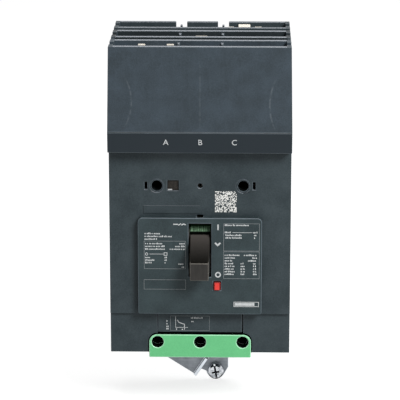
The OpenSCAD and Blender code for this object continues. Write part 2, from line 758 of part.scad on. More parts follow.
module handle_yoke() color(steel) placed() difference() {
    union() {
        on_toggle() {
            block(around(0, arm_x[1]), [yoke_t - yoke_reach, -yoke_reach], around(0, yoke_half));
            both_sides() {
                block(arm_x, [-yoke_reach, 0], around(0, arm_half));
                x_rod(0, 0, hub_r, arm_x);
            }
        }
        both_sides() crank(pivot_y, pivot_z, [arm_x[0] + 0.15, arm_x[1] - 0.15]);
    }
    x_rod(pivot_y, pivot_z, handle_pin_r + run_gap, around(0, pole_pitch));
}
module handle_pin() color(steel) placed() x_rod(pivot_y, pivot_z, handle_pin_r, around(0, pin_reach));
module toggle_spring() color(steel) placed() translate([-5.6, pivot_y, pivot_z]) rotate([0, 0, -90])
    wire(coil_points(handle_pin_r + 1.2, 11.2, 7, 8), 0.45);
module drive_links() color(steel) placed() both_sides() difference() {
    turned(pivot_y + crank_y, pivot_z + crank_z, link_angle) {
        block(link_x, [0, link_length], around(0, link_half));
        for (y = [0, link_length]) x_rod(y, 0, link_end_r, link_x);
    }
    for (c = [[pivot_y, pivot_z], [rotor_y, rotor_z]])
        x_rod(c[0] + crank_y, c[1] + crank_z, crank_pin_r + run_gap, [0, pole_pitch]);
}
module mechanism_frame() color(steel) placed() both_sides() difference() {
    union() {
        block(frame_x, [frame_back_y, frame_front_y], [frame_low, frame_high]);
        block([frame_x[0], pole_pitch / 2 + barrier / 2], [parting_y, parting_y - frame_t],
            [frame_low + frame_foot, frame_high - frame_foot]);
    }
    x_rod(pivot_y, pivot_z, handle_pin_r + run_gap, [0, pole_pitch]);
    x_rod(cradle_y, cradle_z, crank_pin_r + run_gap, [0, pole_pitch]);
}
module cradle_pin() color(steel) placed() x_rod(cradle_y, cradle_z, crank_pin_r, around(0, pin_reach));
module cradle() color(dark_steel) placed() difference() {
    union() {
        x_rod(cradle_y, cradle_z, cradle_hub_r, around(0, cradle_half));
        block(around(0, cradle_half), [cradle_y - 2.5, cradle_y + 1.5], [bimetal_top + 1.2, cradle_z]);
    }
    x_rod(cradle_y, cradle_z, crank_pin_r + run_gap, around(0, cradle_half + past));
}

// Trip chain: button, its spring, the common trip bar, and the thermal and magnetic elements
module trip_button() color(signal_red) placed() {
    y_prism(rounded(around(button_x, button_w / 2), around(button_z, button_h / 2), 0.8, 0.8),
        [front_y - face_proud - cap_proud, flange_y]);
    block(around(button_x, button_w / 2 + 1.2), [flange_y - flange_t, flange_y],
        [stem_z - 2.4, button_z + button_h / 2 + 1.2]);
    y_rod(button_x, stem_z, stem_r, [flange_y - flange_t / 2, stem_end_y]);
}
module trip_spring() color(steel) placed() translate([button_x, flange_y + 0.4, stem_z])
    wire(coil_points(stem_r + 0.9, front_y + cup_end - flange_y - 0.8, 6, 8), 0.35);
module trip_bar() color(warm_black) placed() {
    x_rod(trip_y, trip_z, trip_r, around(0, pole_pitch * 1.5 - 2.5));
    block(shifted(button_x, [-2.2, 1.2]), [trip_y - 2, trip_y + 0.5], [stem_z - 2, trip_z]);
    for (p = [0:2]) {
        block(shifted(pole_x(p), [-2.5, finger_x[1] + 0.2]), [trip_y - 1.5, trip_y + 1],
            [trip_z, bimetal_top]);
        block(around(pole_x(p), 1.2), [trip_y, bimetal_y - bimetal_t - 1.2],
            [bimetal_top - 3, bimetal_top - 1]);
    }
}
module armature() color(dark_steel) placed() {
    x_rod(armature_y, armature_z, armature_r, around(0, pole_pitch + 9));
    for (p = [0:2]) {
        finger = shifted(pole_x(p), finger_x);
        block(around(pole_x(p), armature_half), [armature_y - 0.3, armature_y + 1.2],
            [armature_z - 14.5, armature_z]);
        block(finger, [armature_y, armature_y + 3], around(armature_z, 1));
        block(finger, [armature_y + 2, armature_y + 3], [armature_z - 1, bimetal_top - 2]);
    }
}
module bimetal(p) color([0.70, 0.62, 0.50]) placed() {
    x = around(pole_x(p), bimetal_half);
    foot = jog_z + strap_t;
    block(x, [bimetal_y, bimetal_y - bimetal_t], [foot, bimetal_top]);
    block(x, [bimetal_y + 0.8, bimetal_y - 4], [foot, foot + 1]);
}
module magnet_yokes() color(dark_steel) placed() for (p = [0:2]) {
    back_y = rotor_y - strap_y;
    z = [armature_z - 14, armature_z - 3];
    block(around(pole_x(p), yoke_arm[1]), [back_y, back_y + yoke_back_t], z);
    for (s = [-1, 1])
        block(shifted(pole_x(p), s * yoke_arm), [back_y + yoke_back_t, armature_y + 2.7], z);
}

// Load end: strap, lug and screw for each pole, in one green carrier
module load_strap(p) color(copper) placed() {
    x = around(pole_x(p), strap_w / 2);
    top_y = rotor_y - strap_y;
    low_y = lug_back_y + strap_t;
    union() {
        block(x, [top_y, top_y - strap_t], [jog_z, rotor_z - contact_z + 4]);
        block(x, [top_y, lug_back_y], [jog_z, jog_z + strap_t]);
        block(x, [low_y, lug_back_y], [lug_low + 1, jog_z + strap_t]);
    }
}
module load_lug(p) color(tinned) placed() difference() {
    block(around(pole_x(p), lug_half), [lug_front_y, lug_back_y], [lug_low, lug_top]);
    z_rod(pole_x(p), wire_y, wire_r, [-past, lug_top + past]);
    y_rod(pole_x(p), lug_screw_z, lug_screw_r + run_gap, [lug_front_y - past, wire_y]);
}
module lug_screws() color(dark_steel) placed() for (p = [0:2]) difference() {
    y_rod(pole_x(p), lug_screw_z, lug_screw_r, [lug_front_y + 0.4, wire_y - wire_r - 0.4]);
    translate([pole_x(p), lug_front_y + 0.3, lug_screw_z]) rotate([-90, 0, 0])
        cylinder(r = hex_r, h = hex_depth, $fn = 6);
}
module lug_carrier() color(leaf_green) placed() difference() {
    carrier_y = step_y - carrier_proud;
    body_y = step_y + plate + end_flange_t + pass_gap;
    union() {
        y_prism(rounded(around(0, carrier_w / 2), [-carrier_drop, carrier_top], carrier_r, 0.6),
            [carrier_y, body_y + fuse]);
        block(around(0, carrier_half), [body_y, carrier_rear_y], [0, lug_top]);
    }
    for (p = [0:2]) {
        block(around(pole_x(p), lug_half + cell_gap), [lug_front_y - cell_gap, carrier_rear_y + past],
            [lug_low, jog_z]);
        z_rod(pole_x(p), wire_y, wire_r + 0.7, [-past, lug_low + past]);
        y_rod(pole_x(p), lug_screw_z, access_r, [carrier_y - past, lug_front_y]);
    }
}

// Fasteners: a screw along y with a cross recess; the shank ends on the far side of the seat from the head
module cross_screw(x, z, seat_y, head_y, end_y) difference() {
    out = sign(head_y - seat_y);
    union() {
        y_rod(x, z, head_r, [seat_y, head_y]);
        y_rod(x, z, shank_r, [seat_y, end_y]);
    }
    for (a = [0, 90]) translate([x, head_y, z]) rotate([0, a, 0])
        block(around(0, cross_half), out * [fuse, -cross_depth], around(0, cross_w / 2));
}
module cover_screws() color(dark_steel) placed() both_sides() {
    seat_y = parting_y - plate;
    cross_screw(pole_pitch, cover_screw_z, seat_y, seat_y - head_h, bridge_y - 4);
}
module case_screws() color(steel) placed() both_sides() for (z = case_screw_zs)
    cross_screw(case_screw_x, z, case_head_y, case_head_y + head_h, parting_y - case_screw_bite);

// Mounting bracket: plate under the base, a joggled wing with a folded flange, and an ear for the screw
module mounting_bracket() color(steel) placed() difference() {
    wing_z = wing_tip[1] + (wing_tip[0] - bracket_x[0]) * wing_slope;
    along = (flange_top - wing_tip) / norm(flange_top - wing_tip);
    aside = [-along[1], along[0]] * bracket_t;
    bend_low = bracket_bend_z - bracket_t / 4;
    ear_y = [-joggle, ear_front_y];
    union() {
        block(bracket_x, [0, -bracket_t], [bracket_bend_z, bracket_top]);
        block(bracket_x, [0, ear_front_y], [bracket_bend_z - bracket_t, bracket_bend_z]);
        y_prism([[bracket_x[0], bend_low], [bracket_x[0], wing_z], wing_tip, wing_tip + along * 5.2,
            [mount_x - ear_r, ear_z - 1], [mount_x, ear_z],
            [mount_x + ear_r * cos(ear_cut), ear_z - ear_r * sin(ear_cut)], [bracket_x[1], ear_cut_z],
            [bracket_x[1], bend_low]], ear_y);
        y_rod(mount_x, ear_z, ear_r, ear_y);
        y_prism([wing_tip, flange_top, flange_top + aside, wing_tip + aside],
            [ear_front_y + fuse, ear_front_y - flange_proud]);
    }
    y_rod(mount_x, ear_z, mount_r + shoulder + fuse, [past, ear_front_y - past]);
    for (x = rivet_xs) y_rod(x, rivet_z, rivet_r, [past, -bracket_t - past]);
}
module bracket_rivets() color(steel) placed() for (x = rivet_xs) {
    y_rod(x, rivet_z, rivet_r - rivet_gap, [-0.2, -plate - 0.5]);
    y_rod(x, rivet_z, rivet_head_r, [-plate, -plate - 1.2]);
}
// Mounting screw: a crowned head with a full slot and a short cross, a shoulder in the ear, and a plain shank
module mounting_screw() color(silver) placed() difference() {
    head_y = ear_front_y - screw_head_h;
    union() {
        y_rod(mount_x, ear_z, mount_head_r, [ear_front_y, head_y + crown_h]);
        translate([mount_x, head_y + crown_h, ear_z]) rotate([90, 0, 0])
            cylinder(r1 = mount_head_r, r2 = crown_r, h = crown_h);
        y_rod(mount_x, ear_z, mount_r + shoulder, [ear_front_y, -joggle]);
        y_rod(mount_x, ear_z, mount_r, [-joggle - fuse, -0.5]);
    }
    for (slot = [[80, mount_head_r + past], [170, mount_r]])
        translate([mount_x, head_y, ear_z]) rotate([0, slot[0], 0])
            block(around(0, slot[1]), [-fuse, 1.6], around(0, 0.6));
}

base_case();
front_cover();
line_shield();
line_insulator();
face_plate();
load_end_plate();
screw_wells();
sight_tab();
lug_carrier();
cover_screws();
case_screws();
mounting_bracket();
bracket_rivets();
mounting_screw();
toggle_handle();
handle_yoke();
handle_pin();
toggle_spring();
mechanism_frame();
drive_links();
cradle();
cradle_pin();
rotor();
moving_contacts();
line_contacts();
load_contacts();
trip_button();
trip_spring();
trip_bar();
armature();
magnet_yokes();
jaw_springs();
lug_screws();
for (p = [0:2]) {
    jaw(p);
    line_strap(p);
    line_chute(p);
    load_chute(p);
    contact_bar(p);
    load_strap(p);
    bimetal(p);
    load_lug(p);
}
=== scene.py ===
"""Looks of a three-pole plug-on molded case breaker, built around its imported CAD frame.

Bench coordinates are millimetres: x across the poles, y from the mounting face with the front at -y,
and z up from the case's lower edge. Row coordinates are Blender's own, in metres, with the origin at
the centre of the mounting face.
"""
import logging
import math
import random
from dataclasses import dataclass, field
from enum import Enum
from typing import Any, Optional, Sequence, Union

import bmesh
import bpy
from mathutils import Euler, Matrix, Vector


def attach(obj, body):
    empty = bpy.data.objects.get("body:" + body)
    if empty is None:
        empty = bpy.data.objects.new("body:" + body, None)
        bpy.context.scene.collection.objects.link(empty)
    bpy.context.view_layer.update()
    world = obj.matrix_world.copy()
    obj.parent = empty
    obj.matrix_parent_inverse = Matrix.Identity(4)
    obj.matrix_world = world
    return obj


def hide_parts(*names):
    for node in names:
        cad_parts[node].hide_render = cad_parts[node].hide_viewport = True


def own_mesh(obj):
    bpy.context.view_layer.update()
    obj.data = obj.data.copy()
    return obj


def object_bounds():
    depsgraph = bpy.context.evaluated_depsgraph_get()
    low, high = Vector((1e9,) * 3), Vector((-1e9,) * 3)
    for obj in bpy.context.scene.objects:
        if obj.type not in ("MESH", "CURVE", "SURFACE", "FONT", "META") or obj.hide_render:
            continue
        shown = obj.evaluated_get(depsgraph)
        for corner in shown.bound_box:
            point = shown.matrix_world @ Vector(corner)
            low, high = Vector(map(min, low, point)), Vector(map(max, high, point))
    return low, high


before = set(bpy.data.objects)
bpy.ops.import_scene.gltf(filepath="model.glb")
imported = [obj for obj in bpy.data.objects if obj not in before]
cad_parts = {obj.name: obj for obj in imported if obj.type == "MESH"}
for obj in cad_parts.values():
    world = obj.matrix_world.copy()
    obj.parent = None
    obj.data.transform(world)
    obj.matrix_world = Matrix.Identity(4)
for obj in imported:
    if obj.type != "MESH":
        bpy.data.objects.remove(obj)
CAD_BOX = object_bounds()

LOG = logging.getLogger("breaker")
MM = 0.001
CASE_HALF_HEIGHT = 100.0
POLES = "abc"
# Depth limits of what lies near the front of the case.
FRONT_Y = (-110.0, -60.0)

Point2 = tuple[float, float]
Point3 = tuple[float, float, float]
Tree = bpy.types.NodeTree
Socket = bpy.types.NodeSocket
Source = Union[float, Socket, bpy.types.Node]
Ramp = tuple[Union[str, Point2], float, float]


def linear(hex_code: str) -> tuple[float, float, float, float]:
    """Turn an sRGB hex colour into linear RGBA.

    Args:
        hex_code: Six hex digits with a leading hash.

    Returns:
        The linear red, green and blue, with an alpha of one.
    """
    parts = [int(hex_code[k:k + 2], 16) / 255 for k in (1, 3, 5)]
    red, green, blue = (c / 12.92 if c <= 0.04045 else ((c + 0.055) / 1.055) ** 2.4 for c in parts)
    return (red, green, blue, 1.0)


def per_metre(size_mm: float) -> float:
    """Pattern scale, in features per metre, of a feature of that size in millimetres."""
    return 1.0 / (size_mm * MM)


def row(x: float, y: float, z: float) -> Vector:
    """Row position, in metres, of a bench point in millimetres."""
    return Vector((x, y, z - CASE_HALF_HEIGHT)) * MM


def add_node(
    tree: Tree, kind: str, inputs: Optional[dict[Union[str, int], Any]] = None, **settings: Any,
) -> bpy.types.Node:
    """Add a shader node with its settings, its constants and its incoming links.

    Args:
        tree: The node tree.
        kind: The node's type, without the prefix that all shader nodes share.
        inputs: What each input takes, by name or place: a constant, a socket to link, or a node whose
            first output is linked.
        settings: Properties of the node itself.

    Returns:
        The new node.
    """
    node = tree.nodes.new("ShaderNode" + kind)
    for name, value in settings.items():
        setattr(node, name, value)
    for name, source in (inputs or {}).items():
        if isinstance(source, bpy.types.Node):
            source = source.outputs[0]
        if isinstance(source, Socket):
            tree.links.new(source, node.inputs[name])
        else:
            node.inputs[name].default_value = source
    return node


@dataclass(frozen=True)
class Canvas:
    """A material's node tree, with the surface's own coordinates together and one by one."""

    tree: Tree
    place: Socket
    axes: bpy.types.NodeOutputs


# Finishes


class Flow(Enum):
    """Direction in which a surface's fine lines run."""

    ACROSS = (0.04, 1.0, 1.0)
    UP = (1.0, 1.0, 0.04)
    NONE = (1.0, 1.0, 1.0)


@dataclass(frozen=True)
class Patch:
    """Another colour on part of a surface: where all ramps of any one group are full, or all around.

    A ramp runs along a bench axis, or away from a front-to-back line given by its place across and its
    height. It has the length where it is zero and the one where it is full.
    """

    colour: str
    groups: Sequence[Sequence[Ramp]]
    around: bool = False
    dull: bool = True

    def mask(self, on: Canvas) -> Source:
        """One on the patch, else zero.

        Args:
            on: The surface.

        Returns:
            The mask.
        """
        inside: Source = 0.0
        for group in self.groups:
            full: Source = 1.0
            for along, low, high in group:
                origin = CASE_HALF_HEIGHT if along == "Z" else 0.0
                level = add_node(on.tree, "MapRange", {
                    "Value": on.axes[along] if isinstance(along, str) else self.away(on, *along),
                    "From Min": (low - origin) * MM, "From Max": (high - origin) * MM})
                full = add_node(on.tree, "Math", {0: full, 1: level}, operation="MULTIPLY")
            inside = add_node(on.tree, "Math", {0: inside, 1: full}, operation="MAXIMUM")
        if self.around:
            inside = add_node(on.tree, "Math", {0: 1.0, 1: inside}, operation="SUBTRACT")
        return inside

    def away(self, on: Canvas, x: float, z: float) -> Socket:
        """Distance from the front-to-back line at that place across and that height."""
        flat = add_node(on.tree, "VectorMath", {0: on.place, 1: (1, 0, 1)}, operation="MULTIPLY")
        return add_node(on.tree, "VectorMath", {0: flat, 1: row(x, 0.0, z)}, operation="DISTANCE").outputs[1]


def boxed(x: Point2, z: Point2, fade: float) -> list[Ramp]:
    """Ramps that are all full inside a box at the front of the case.

    Args:
        x: Its limits across.
        z: Its limits in height.
        fade: Width of its soft edge.

    Returns:
        The ramps.
    """
    ramps = []
    for axis, (low, high) in (("X", x), ("Y", FRONT_Y), ("Z", z)):
        ramps += [(axis, low, low + fade), (axis, high, high - fade)]
    return ramps


# Pale dust on the faces that look up; its paleness is also painted light, as those faces catch more light.
DUST_AND_TOP_LIGHT = "#A9AEB6"
# How far up a face has to look before the dust and the painted top light lie on it, and where they are whole.
DUST_AND_TOP_LIGHT_SLOPE = (0.35, 0.95)
DUST_AND_TOP_LIGHT_FADE_MM = 0.5
# The grain's weight beside the clouds', and the sums at which the two shades are pure.
GRAIN_SHARE = 0.8
SHADE_SPAN = (0.66, 1.14)


@dataclass(frozen=True)
class Finish:
    """What every finish shares: a real material, how its surface was made, and its two shades."""

    name: str
    colour: str
    shade: str
    roughness: float
    roughness_spread: float = 0.06
    cloud_mm: float = 14.0
    grain_mm: float = 0.7
    grain_height_mm: float = 0.03
    flow: Flow = Flow.NONE
    metallic: float = 0.0
    ior: float = 1.5
    specular: float = 0.5
    dust_and_top_light: float = 0.0
    dust_and_top_light_half_mm: float = 53.0
    patches: tuple[Patch, ...] = ()

    def material(self) -> bpy.types.Material:
        """Material of this finish, made on its first use."""
        known = bpy.data.materials.get(self.name)
        return known if known else self.build()

    def build(self) -> bpy.types.Material:
        """Make the material's nodes.

        Returns:
            The new material.
        """
        made = bpy.data.materials.new(self.name)
        made.use_nodes = True
        tree = made.node_tree
        tree.nodes.clear()
        place = add_node(tree, "TexCoord").outputs["Object"]
        on = Canvas(tree, place, add_node(tree, "SeparateXYZ", {"Vector": place}).outputs)
        cloud = add_node(tree, "TexNoise", {
            "Vector": place, "Scale": per_metre(self.cloud_mm), "Detail": 3.0, "Roughness": 0.55})
        drawn = add_node(tree, "Mapping", {"Vector": place, "Scale": self.flow.value})
        grain = add_node(tree, "TexNoise", {
            "Vector": drawn, "Scale": per_metre(self.grain_mm), "Detail": 2.0})
        both = add_node(tree, "Math", {0: grain, 1: GRAIN_SHARE, 2: cloud}, operation="MULTIPLY_ADD")
        level = add_node(tree, "MapRange", {
            "Value": both, "From Min": SHADE_SPAN[0], "From Max": SHADE_SPAN[1]})
        colour = add_node(tree, "Mix", {0: level, 6: linear(self.colour), 7: linear(self.shade)},
                          data_type="RGBA").outputs[2]
        colour = self.pattern(on, self.dusted_and_top_lit(on, colour) if self.dust_and_top_light else colour)
        sheen: Source = self.specular
        for patch in self.patches:
            mask = patch.mask(on)
            colour = add_node(tree, "Mix", {0: mask, 6: colour, 7: linear(patch.colour)},
                              data_type="RGBA").outputs[2]
            if patch.dull:
                sheen = add_node(tree, "MapRange", {"Value": mask, "To Min": sheen, "To Max": 0.0})
        shine = add_node(tree, "MapRange", {
            "Value": cloud, "To Min": self.roughness - self.roughness_spread,
            "To Max": self.roughness + self.roughness_spread})
        bump = add_node(tree, "Bump", {
            "Height": grain, "Strength": 1.0, "Distance": self.grain_height_mm * MM})
        inputs = {"Base Color": colour, "Metallic": self.metallic, "Roughness": shine, "Normal": bump}
        if not self.metallic:
            inputs.update({"IOR": self.ior, "Specular IOR Level": sheen})
        shader = add_node(tree, "BsdfPrincipled", inputs)
        add_node(tree, "OutputMaterial", {"Surface": shader})
        return made

    def pattern(self, on: Canvas, colour: Socket) -> Socket:
        """Colour with the finish's own pattern on it: here there is none."""
        return colour

    def dusted_and_top_lit(self, on: Canvas, colour: Socket) -> Socket:
        """Lay pale dust and painted light on the faces that look up, short of the handled outer walls.

        Args:
            on: The surface.
            colour: Its colour.

        Returns:
            The colour with its dust and painted light.
        """
        facing = add_node(on.tree, "SeparateXYZ", {
            "Vector": add_node(on.tree, "NewGeometry").outputs["Normal"]})
        film = add_node(on.tree, "MapRange", {
            "Value": facing.outputs["Z"], "From Min": DUST_AND_TOP_LIGHT_SLOPE[0], "From Max": DUST_AND_TOP_LIGHT_SLOPE[1],
            "To Max": self.dust_and_top_light})
        across = add_node(on.tree, "Math", {0: on.axes["X"]}, operation="ABSOLUTE")
        inside = add_node(on.tree, "MapRange", {
            "Value": across, "From Min": (self.dust_and_top_light_half_mm + DUST_AND_TOP_LIGHT_FADE_MM) * MM,
            "From Max": self.dust_and_top_light_half_mm * MM})
        kept = add_node(on.tree, "Math", {0: film, 1: inside}, operation="MULTIPLY")
        return add_node(on.tree, "Mix", {0: kept, 6: colour, 7: linear(DUST_AND_TOP_LIGHT)}, data_type="RGBA").outputs[2]


@dataclass(frozen=True)
class Scuff:
    """A long faint rub on a face: its middle, its bow per metre, its half length and its strength."""

    x_mm: float
    z_mm: float
    bow: float
    half_mm: float
    strength: float
    width_mm: Point2 = (0.8, 0.15)
    full_share: float = 0.6

    def line(self, on: Canvas) -> bpy.types.Node:
        """Mask of the rub.

        Args:
            on: The surface.

        Returns:
            The rub's strength along its line, else zero.
        """
        up = add_node(on.tree, "Math", {
            0: on.axes["Z"], 1: (self.z_mm - CASE_HALF_HEIGHT) * MM}, operation="SUBTRACT")
        square = add_node(on.tree, "Math", {0: up, 1: up}, operation="MULTIPLY")
        curve = add_node(on.tree, "Math", {
            0: square, 1: self.bow, 2: self.x_mm * MM}, operation="MULTIPLY_ADD")
        aside = add_node(on.tree, "Math", {0: on.axes["X"], 1: curve}, operation="SUBTRACT")
        ends = (self.half_mm, self.full_share * self.half_mm)
        levels = []
        for offset, (low, high), top in ((aside, self.width_mm, self.strength), (up, ends, 1.0)):
            away = add_node(on.tree, "Math", {0: offset}, operation="ABSOLUTE")
            levels.append(add_node(on.tree, "MapRange", {
                "Value": away, "From Min": low * MM, "From Max": high * MM, "To Max": top}))
        return add_node(on.tree, "Math", {0: levels[0], 1: levels[1]}, operation="MULTIPLY")


@dataclass(frozen=True)
class ScuffedPlastic(Finish):
    """Moulded plastic with faint flow streaks and long shelf scuffs."""

    streak: str = "#3A444B"
    streak_mm: float = 1.3
    streak_stretch: Point3 = (1.0, 1.0, 0.05)
    streak_span: Point2 = (0.5, 0.8)
    streak_strength: float = 0.45
    scuff: str = "#6E777D"
    scuffs: tuple[Scuff, ...] = ()
    gap_mm: float = 3.0
    gap_span: Point2 = (0.36, 0.6)

    def pattern(self, on: Canvas, colour: Socket) -> Socket:
        """Lay the streaks and the scuffs over the colour.

        Args:
            on: The surface.
            colour: The dusted colour.

        Returns:
            The colour with its streaks and scuffs.
        """
        drawn = add_node(on.tree, "Mapping", {"Vector": on.place, "Scale": self.streak_stretch})
        flowed = add_node(on.tree, "TexNoise", {
            "Vector": drawn, "Scale": per_metre(self.streak_mm), "Detail": 2.0})
        faint = add_node(on.tree, "MapRange", {
            "Value": flowed, "From Min": self.streak_span[0], "From Max": self.streak_span[1],
            "To Max": self.streak_strength})
        broken = add_node(on.tree, "TexNoise", {
            "Vector": on.place, "Scale": per_metre(self.gap_mm), "Detail": 1.0})
        gaps = add_node(on.tree, "MapRange", {
            "Value": broken, "From Min": self.gap_span[0], "From Max": self.gap_span[1]})
        layers = [(self.streak, faint)]
        for rub in self.scuffs:
            mask = add_node(on.tree, "Math", {0: rub.line(on), 1: gaps}, operation="MULTIPLY")
            layers.append((self.scuff, mask))
        for over, mask in layers:
            colour = add_node(on.tree, "Mix", {0: mask, 6: colour, 7: linear(over)},
                              data_type="RGBA").outputs[2]
        return colour


# Glass-filled polyester, compression moulded in a spark-eroded tool: a dry slate grey whose pitted
# grain hides half of its sheen. The real grain is about 0.15 mm, too fine to show, so it is drawn at 0.7 mm.
# Painted shade darkens the pry notch above the face plate and takes off its sheen.
PRY_NOTCH_PAINTED_SHADE = Patch("#0B0D0C", [boxed((-2.0, 2.0), (89.5, 91.7), 0.1)])
HOUSING = Finish("glass_filled_polyester_moulded_slate", "#374145", "#273135", 0.55, specular=0.25,
                 dust_and_top_light=0.3, patches=(PRY_NOTCH_PAINTED_SHADE,))
# The same moulding on its rounded corners: shinier where handling has rubbed the grain off, and painted a
# little paler as a highlight.
HOUSING_EDGE = Finish("glass_filled_polyester_rubbed_corner_painted_highlight", "#465158", "#364046", 0.36, cloud_mm=6.0,
                      dust_and_top_light=0.6, patches=(PRY_NOTCH_PAINTED_SHADE,))
# The line shield is a thinner moulding with a drier, bluer face that shows flow streaks and scuffs, and a
# band below painted darker as shade.
SHIELD_BAND_PAINTED_SHADE = Patch("#182127", [[("Z", 146.8, 146.2)]], dull=False)
SHIELD = ScuffedPlastic("glass_filled_polyester_moulded_shield", "#3C4750", "#2D363C", 0.55, specular=0.25,
                        dust_and_top_light=0.6, patches=(SHIELD_BAND_PAINTED_SHADE,), scuffs=(
    Scuff(-42.0, 166.0, -16.0, 17.0, 0.3), Scuff(43.0, 164.0, 14.0, 17.0, 0.32),
    Scuff(0.2, 172.0, 0.0, 28.0, 0.18)))
# Unlit pocket walls are the same plastic, with their colour painted darker as shade. The screw wells take no
# dust, since they face forward.
POCKET = Finish("glass_filled_polyester_moulded_pocket", "#20282C", "#161D20", 0.55, specular=0.25, dust_and_top_light=0.6)
# The screw wells are painted near black as shade, and their rims paler as a highlight.
WELL_PAINTED_SHADE = Finish("glass_filled_polyester_moulded_well", "#0D1113", "#080B0C", 0.6, specular=0.1)
WELL_RIM_PAINTED_HIGHLIGHT = Finish("glass_filled_polyester_moulded_well_rim", "#5A656C", "#485258", 0.45, cloud_mm=3.0,
                  specular=0.2)
# Polycarbonate face, moulded in a finer texture than the housing: as dry, and a touch darker.
FACE = Finish("polycarbonate_moulded_fine_texture", "#354245", "#263134", 0.52, grain_mm=0.6,
              grain_height_mm=0.02, ior=1.58, specular=0.2)
# The plate's rounded corners are shinier and painted paler as a highlight.
FACE_EDGE = Finish("polycarbonate_rubbed_corner_painted_highlight", "#5E6A71", "#4C575D", 0.36, cloud_mm=6.0, ior=1.58,
                   specular=0.12, dust_and_top_light=0.4)
# Phenolic rotor and trip bar: compression moulded, nearly black, with a low gloss.
PHENOLIC = Finish("phenolic_compression_moulded", "#1E1E20", "#161618", 0.42, ior=1.6)
# Polyamide toggle: warm black, with fine upright lines left by the tool that cut its mould. Its hood is
# painted lighter towards the root as light and darker towards the lip as shade.
LIP_Z, ROOT_Z = 66.6, 78.1
HOOD_PAINTED_LIGHT = Patch("#494542", [[("Z", LIP_Z + 2.0, ROOT_Z)]], dull=False)
HOOD_PAINTED_SHADE = Patch("#151412", [[("Z", LIP_Z - 0.1, LIP_Z + 0.1), ("Z", ROOT_Z, LIP_Z)]])
TOGGLE = Finish("polyamide_moulded_warm_black", "#2D2B28", "#1F1D1B", 0.45, grain_mm=0.9,
                grain_height_mm=0.05, flow=Flow.UP, ior=1.53, specular=0.25,
                patches=(HOOD_PAINTED_LIGHT, HOOD_PAINTED_SHADE))
# Its rounded corners are painted pale as a highlight at the lip and the tip, and only a little along the
# hood.
TOGGLE_EDGE = Finish("polyamide_corner_painted_highlight", "#686560", "#524F4A", 0.38, cloud_mm=3.0, ior=1.53,
                     specular=0.15,
                     patches=(Patch("#2E2C29", [boxed((-12.0, 12.0), (67.0, 90.0), 0.5)]),))
# Polybutylene carrier: an even leaf green with a satin skin. Painted shade darkens the walls of its three
# screw holes and the seam around it, and takes off their sheen.
HOLE_Z, HOLE_R = 7.3, 3.86
HOLES_PAINTED_SHADE = [[((x, HOLE_Z), HOLE_R + 0.06, HOLE_R)] for x in (-27.0, 0.0, 27.0)]
SEAM_PAINTED_SHADE = [("Y", -76.9, -76.6), ("Y", -70.6, -70.8), ("Z", 0.2, 0.6)]
CARRIER = Finish("polybutylene_moulded_leaf_green", "#6ECB8A", "#63BF80", 0.42, grain_height_mm=0.01,
                 cloud_mm=20.0, patches=(Patch("#0B0D0C", HOLES_PAINTED_SHADE + [SEAM_PAINTED_SHADE]),))
# The carrier's rounded corners are painted pale as a highlight.
CARRIER_EDGE = Finish("polybutylene_corner_painted_highlight", "#B6F0C9", "#A2E7B8", 0.3, cloud_mm=6.0)
# Acetal push button: saturated red and slick, with painted shade darkening the rim of its cap and its flanks.
BUTTON = Finish("acetal_moulded_signal_red", "#EE3B30", "#DA3028", 0.3, grain_height_mm=0.008, ior=1.48,
                patches=(Patch("#5E1512", [boxed((9.15, 12.65), (43.9, 49.2), 0.6)], around=True),))
BUTTON_EDGE = Finish("acetal_moulded_red_flank_painted_shade", "#8E231F", "#7A1C19", 0.4, cloud_mm=3.0, ior=1.48)
# Brown fibre-filled tab behind the sight window, with a rough broken face.
SIGHT = Finish("phenolic_paper_sawn", "#2E2A26", "#161412", 0.6, cloud_mm=1.6, grain_mm=0.8,
               grain_height_mm=0.1, specular=0.2)
# Zinc-plated pressed steel: a blue-white skin with cloudy dull patches and faint rolling lines.
ZINC = Finish("zinc_plated_steel_pressed", "#8E9298", "#767A80", 0.36, 0.1, cloud_mm=5.0, grain_mm=0.6,
              grain_height_mm=0.008, flow=Flow.ACROSS, metallic=1.0)
# A band across the bracket's fold is painted bright as a highlight on its edge.
FOLD_PAINTED_HIGHLIGHT = Patch("#DDE2EA", [[("Y", -10.4, -10.7)]], dull=False)
BRACKET = Finish("zinc_plated_steel_folded", "#888C92", "#70747A", 0.36, 0.1, cloud_mm=5.0, grain_mm=0.6,
                 grain_height_mm=0.008, flow=Flow.ACROSS, metallic=1.0, patches=(FOLD_PAINTED_HIGHLIGHT,))
# Rounded corners of zinc-plated parts are painted bright as a highlight.
ZINC_EDGE = Finish("zinc_plated_steel_edge_painted_highlight", "#D9DEE4", "#C4CAD1", 0.24, cloud_mm=3.0, metallic=1.0)
# Bright zinc-plated screw: pale and dark patches painted as reflections, with painted shade in its recess and
# along its lower rim.
SCREW_AXIS = (9.0, -35.9)
RECESS_PAINTED_SHADE = [(SCREW_AXIS, 4.1, 3.9), ("Y", -13.3, -12.9), ("Y", -11.5, -11.7)]
LOWER_RIM_PAINTED_SHADE = [(SCREW_AXIS, 3.9, 4.4), ("Z", SCREW_AXIS[1] - 0.5, SCREW_AXIS[1] - 2.0)]
BRIGHT = Finish("zinc_plated_steel_turned", "#F4F6FA", "#7E848C", 0.2, cloud_mm=1.4, grain_mm=0.5,
                grain_height_mm=0.01, metallic=1.0,
                patches=(Patch("#17191C", [RECESS_PAINTED_SHADE, LOWER_RIM_PAINTED_SHADE], dull=False),))
# Oiled dark steel: grey-black with brighter worn spots.
DARK_STEEL = Finish("oiled_steel_turned", "#55575B", "#3D3F43", 0.38, 0.1, cloud_mm=2.5, metallic=1.0)
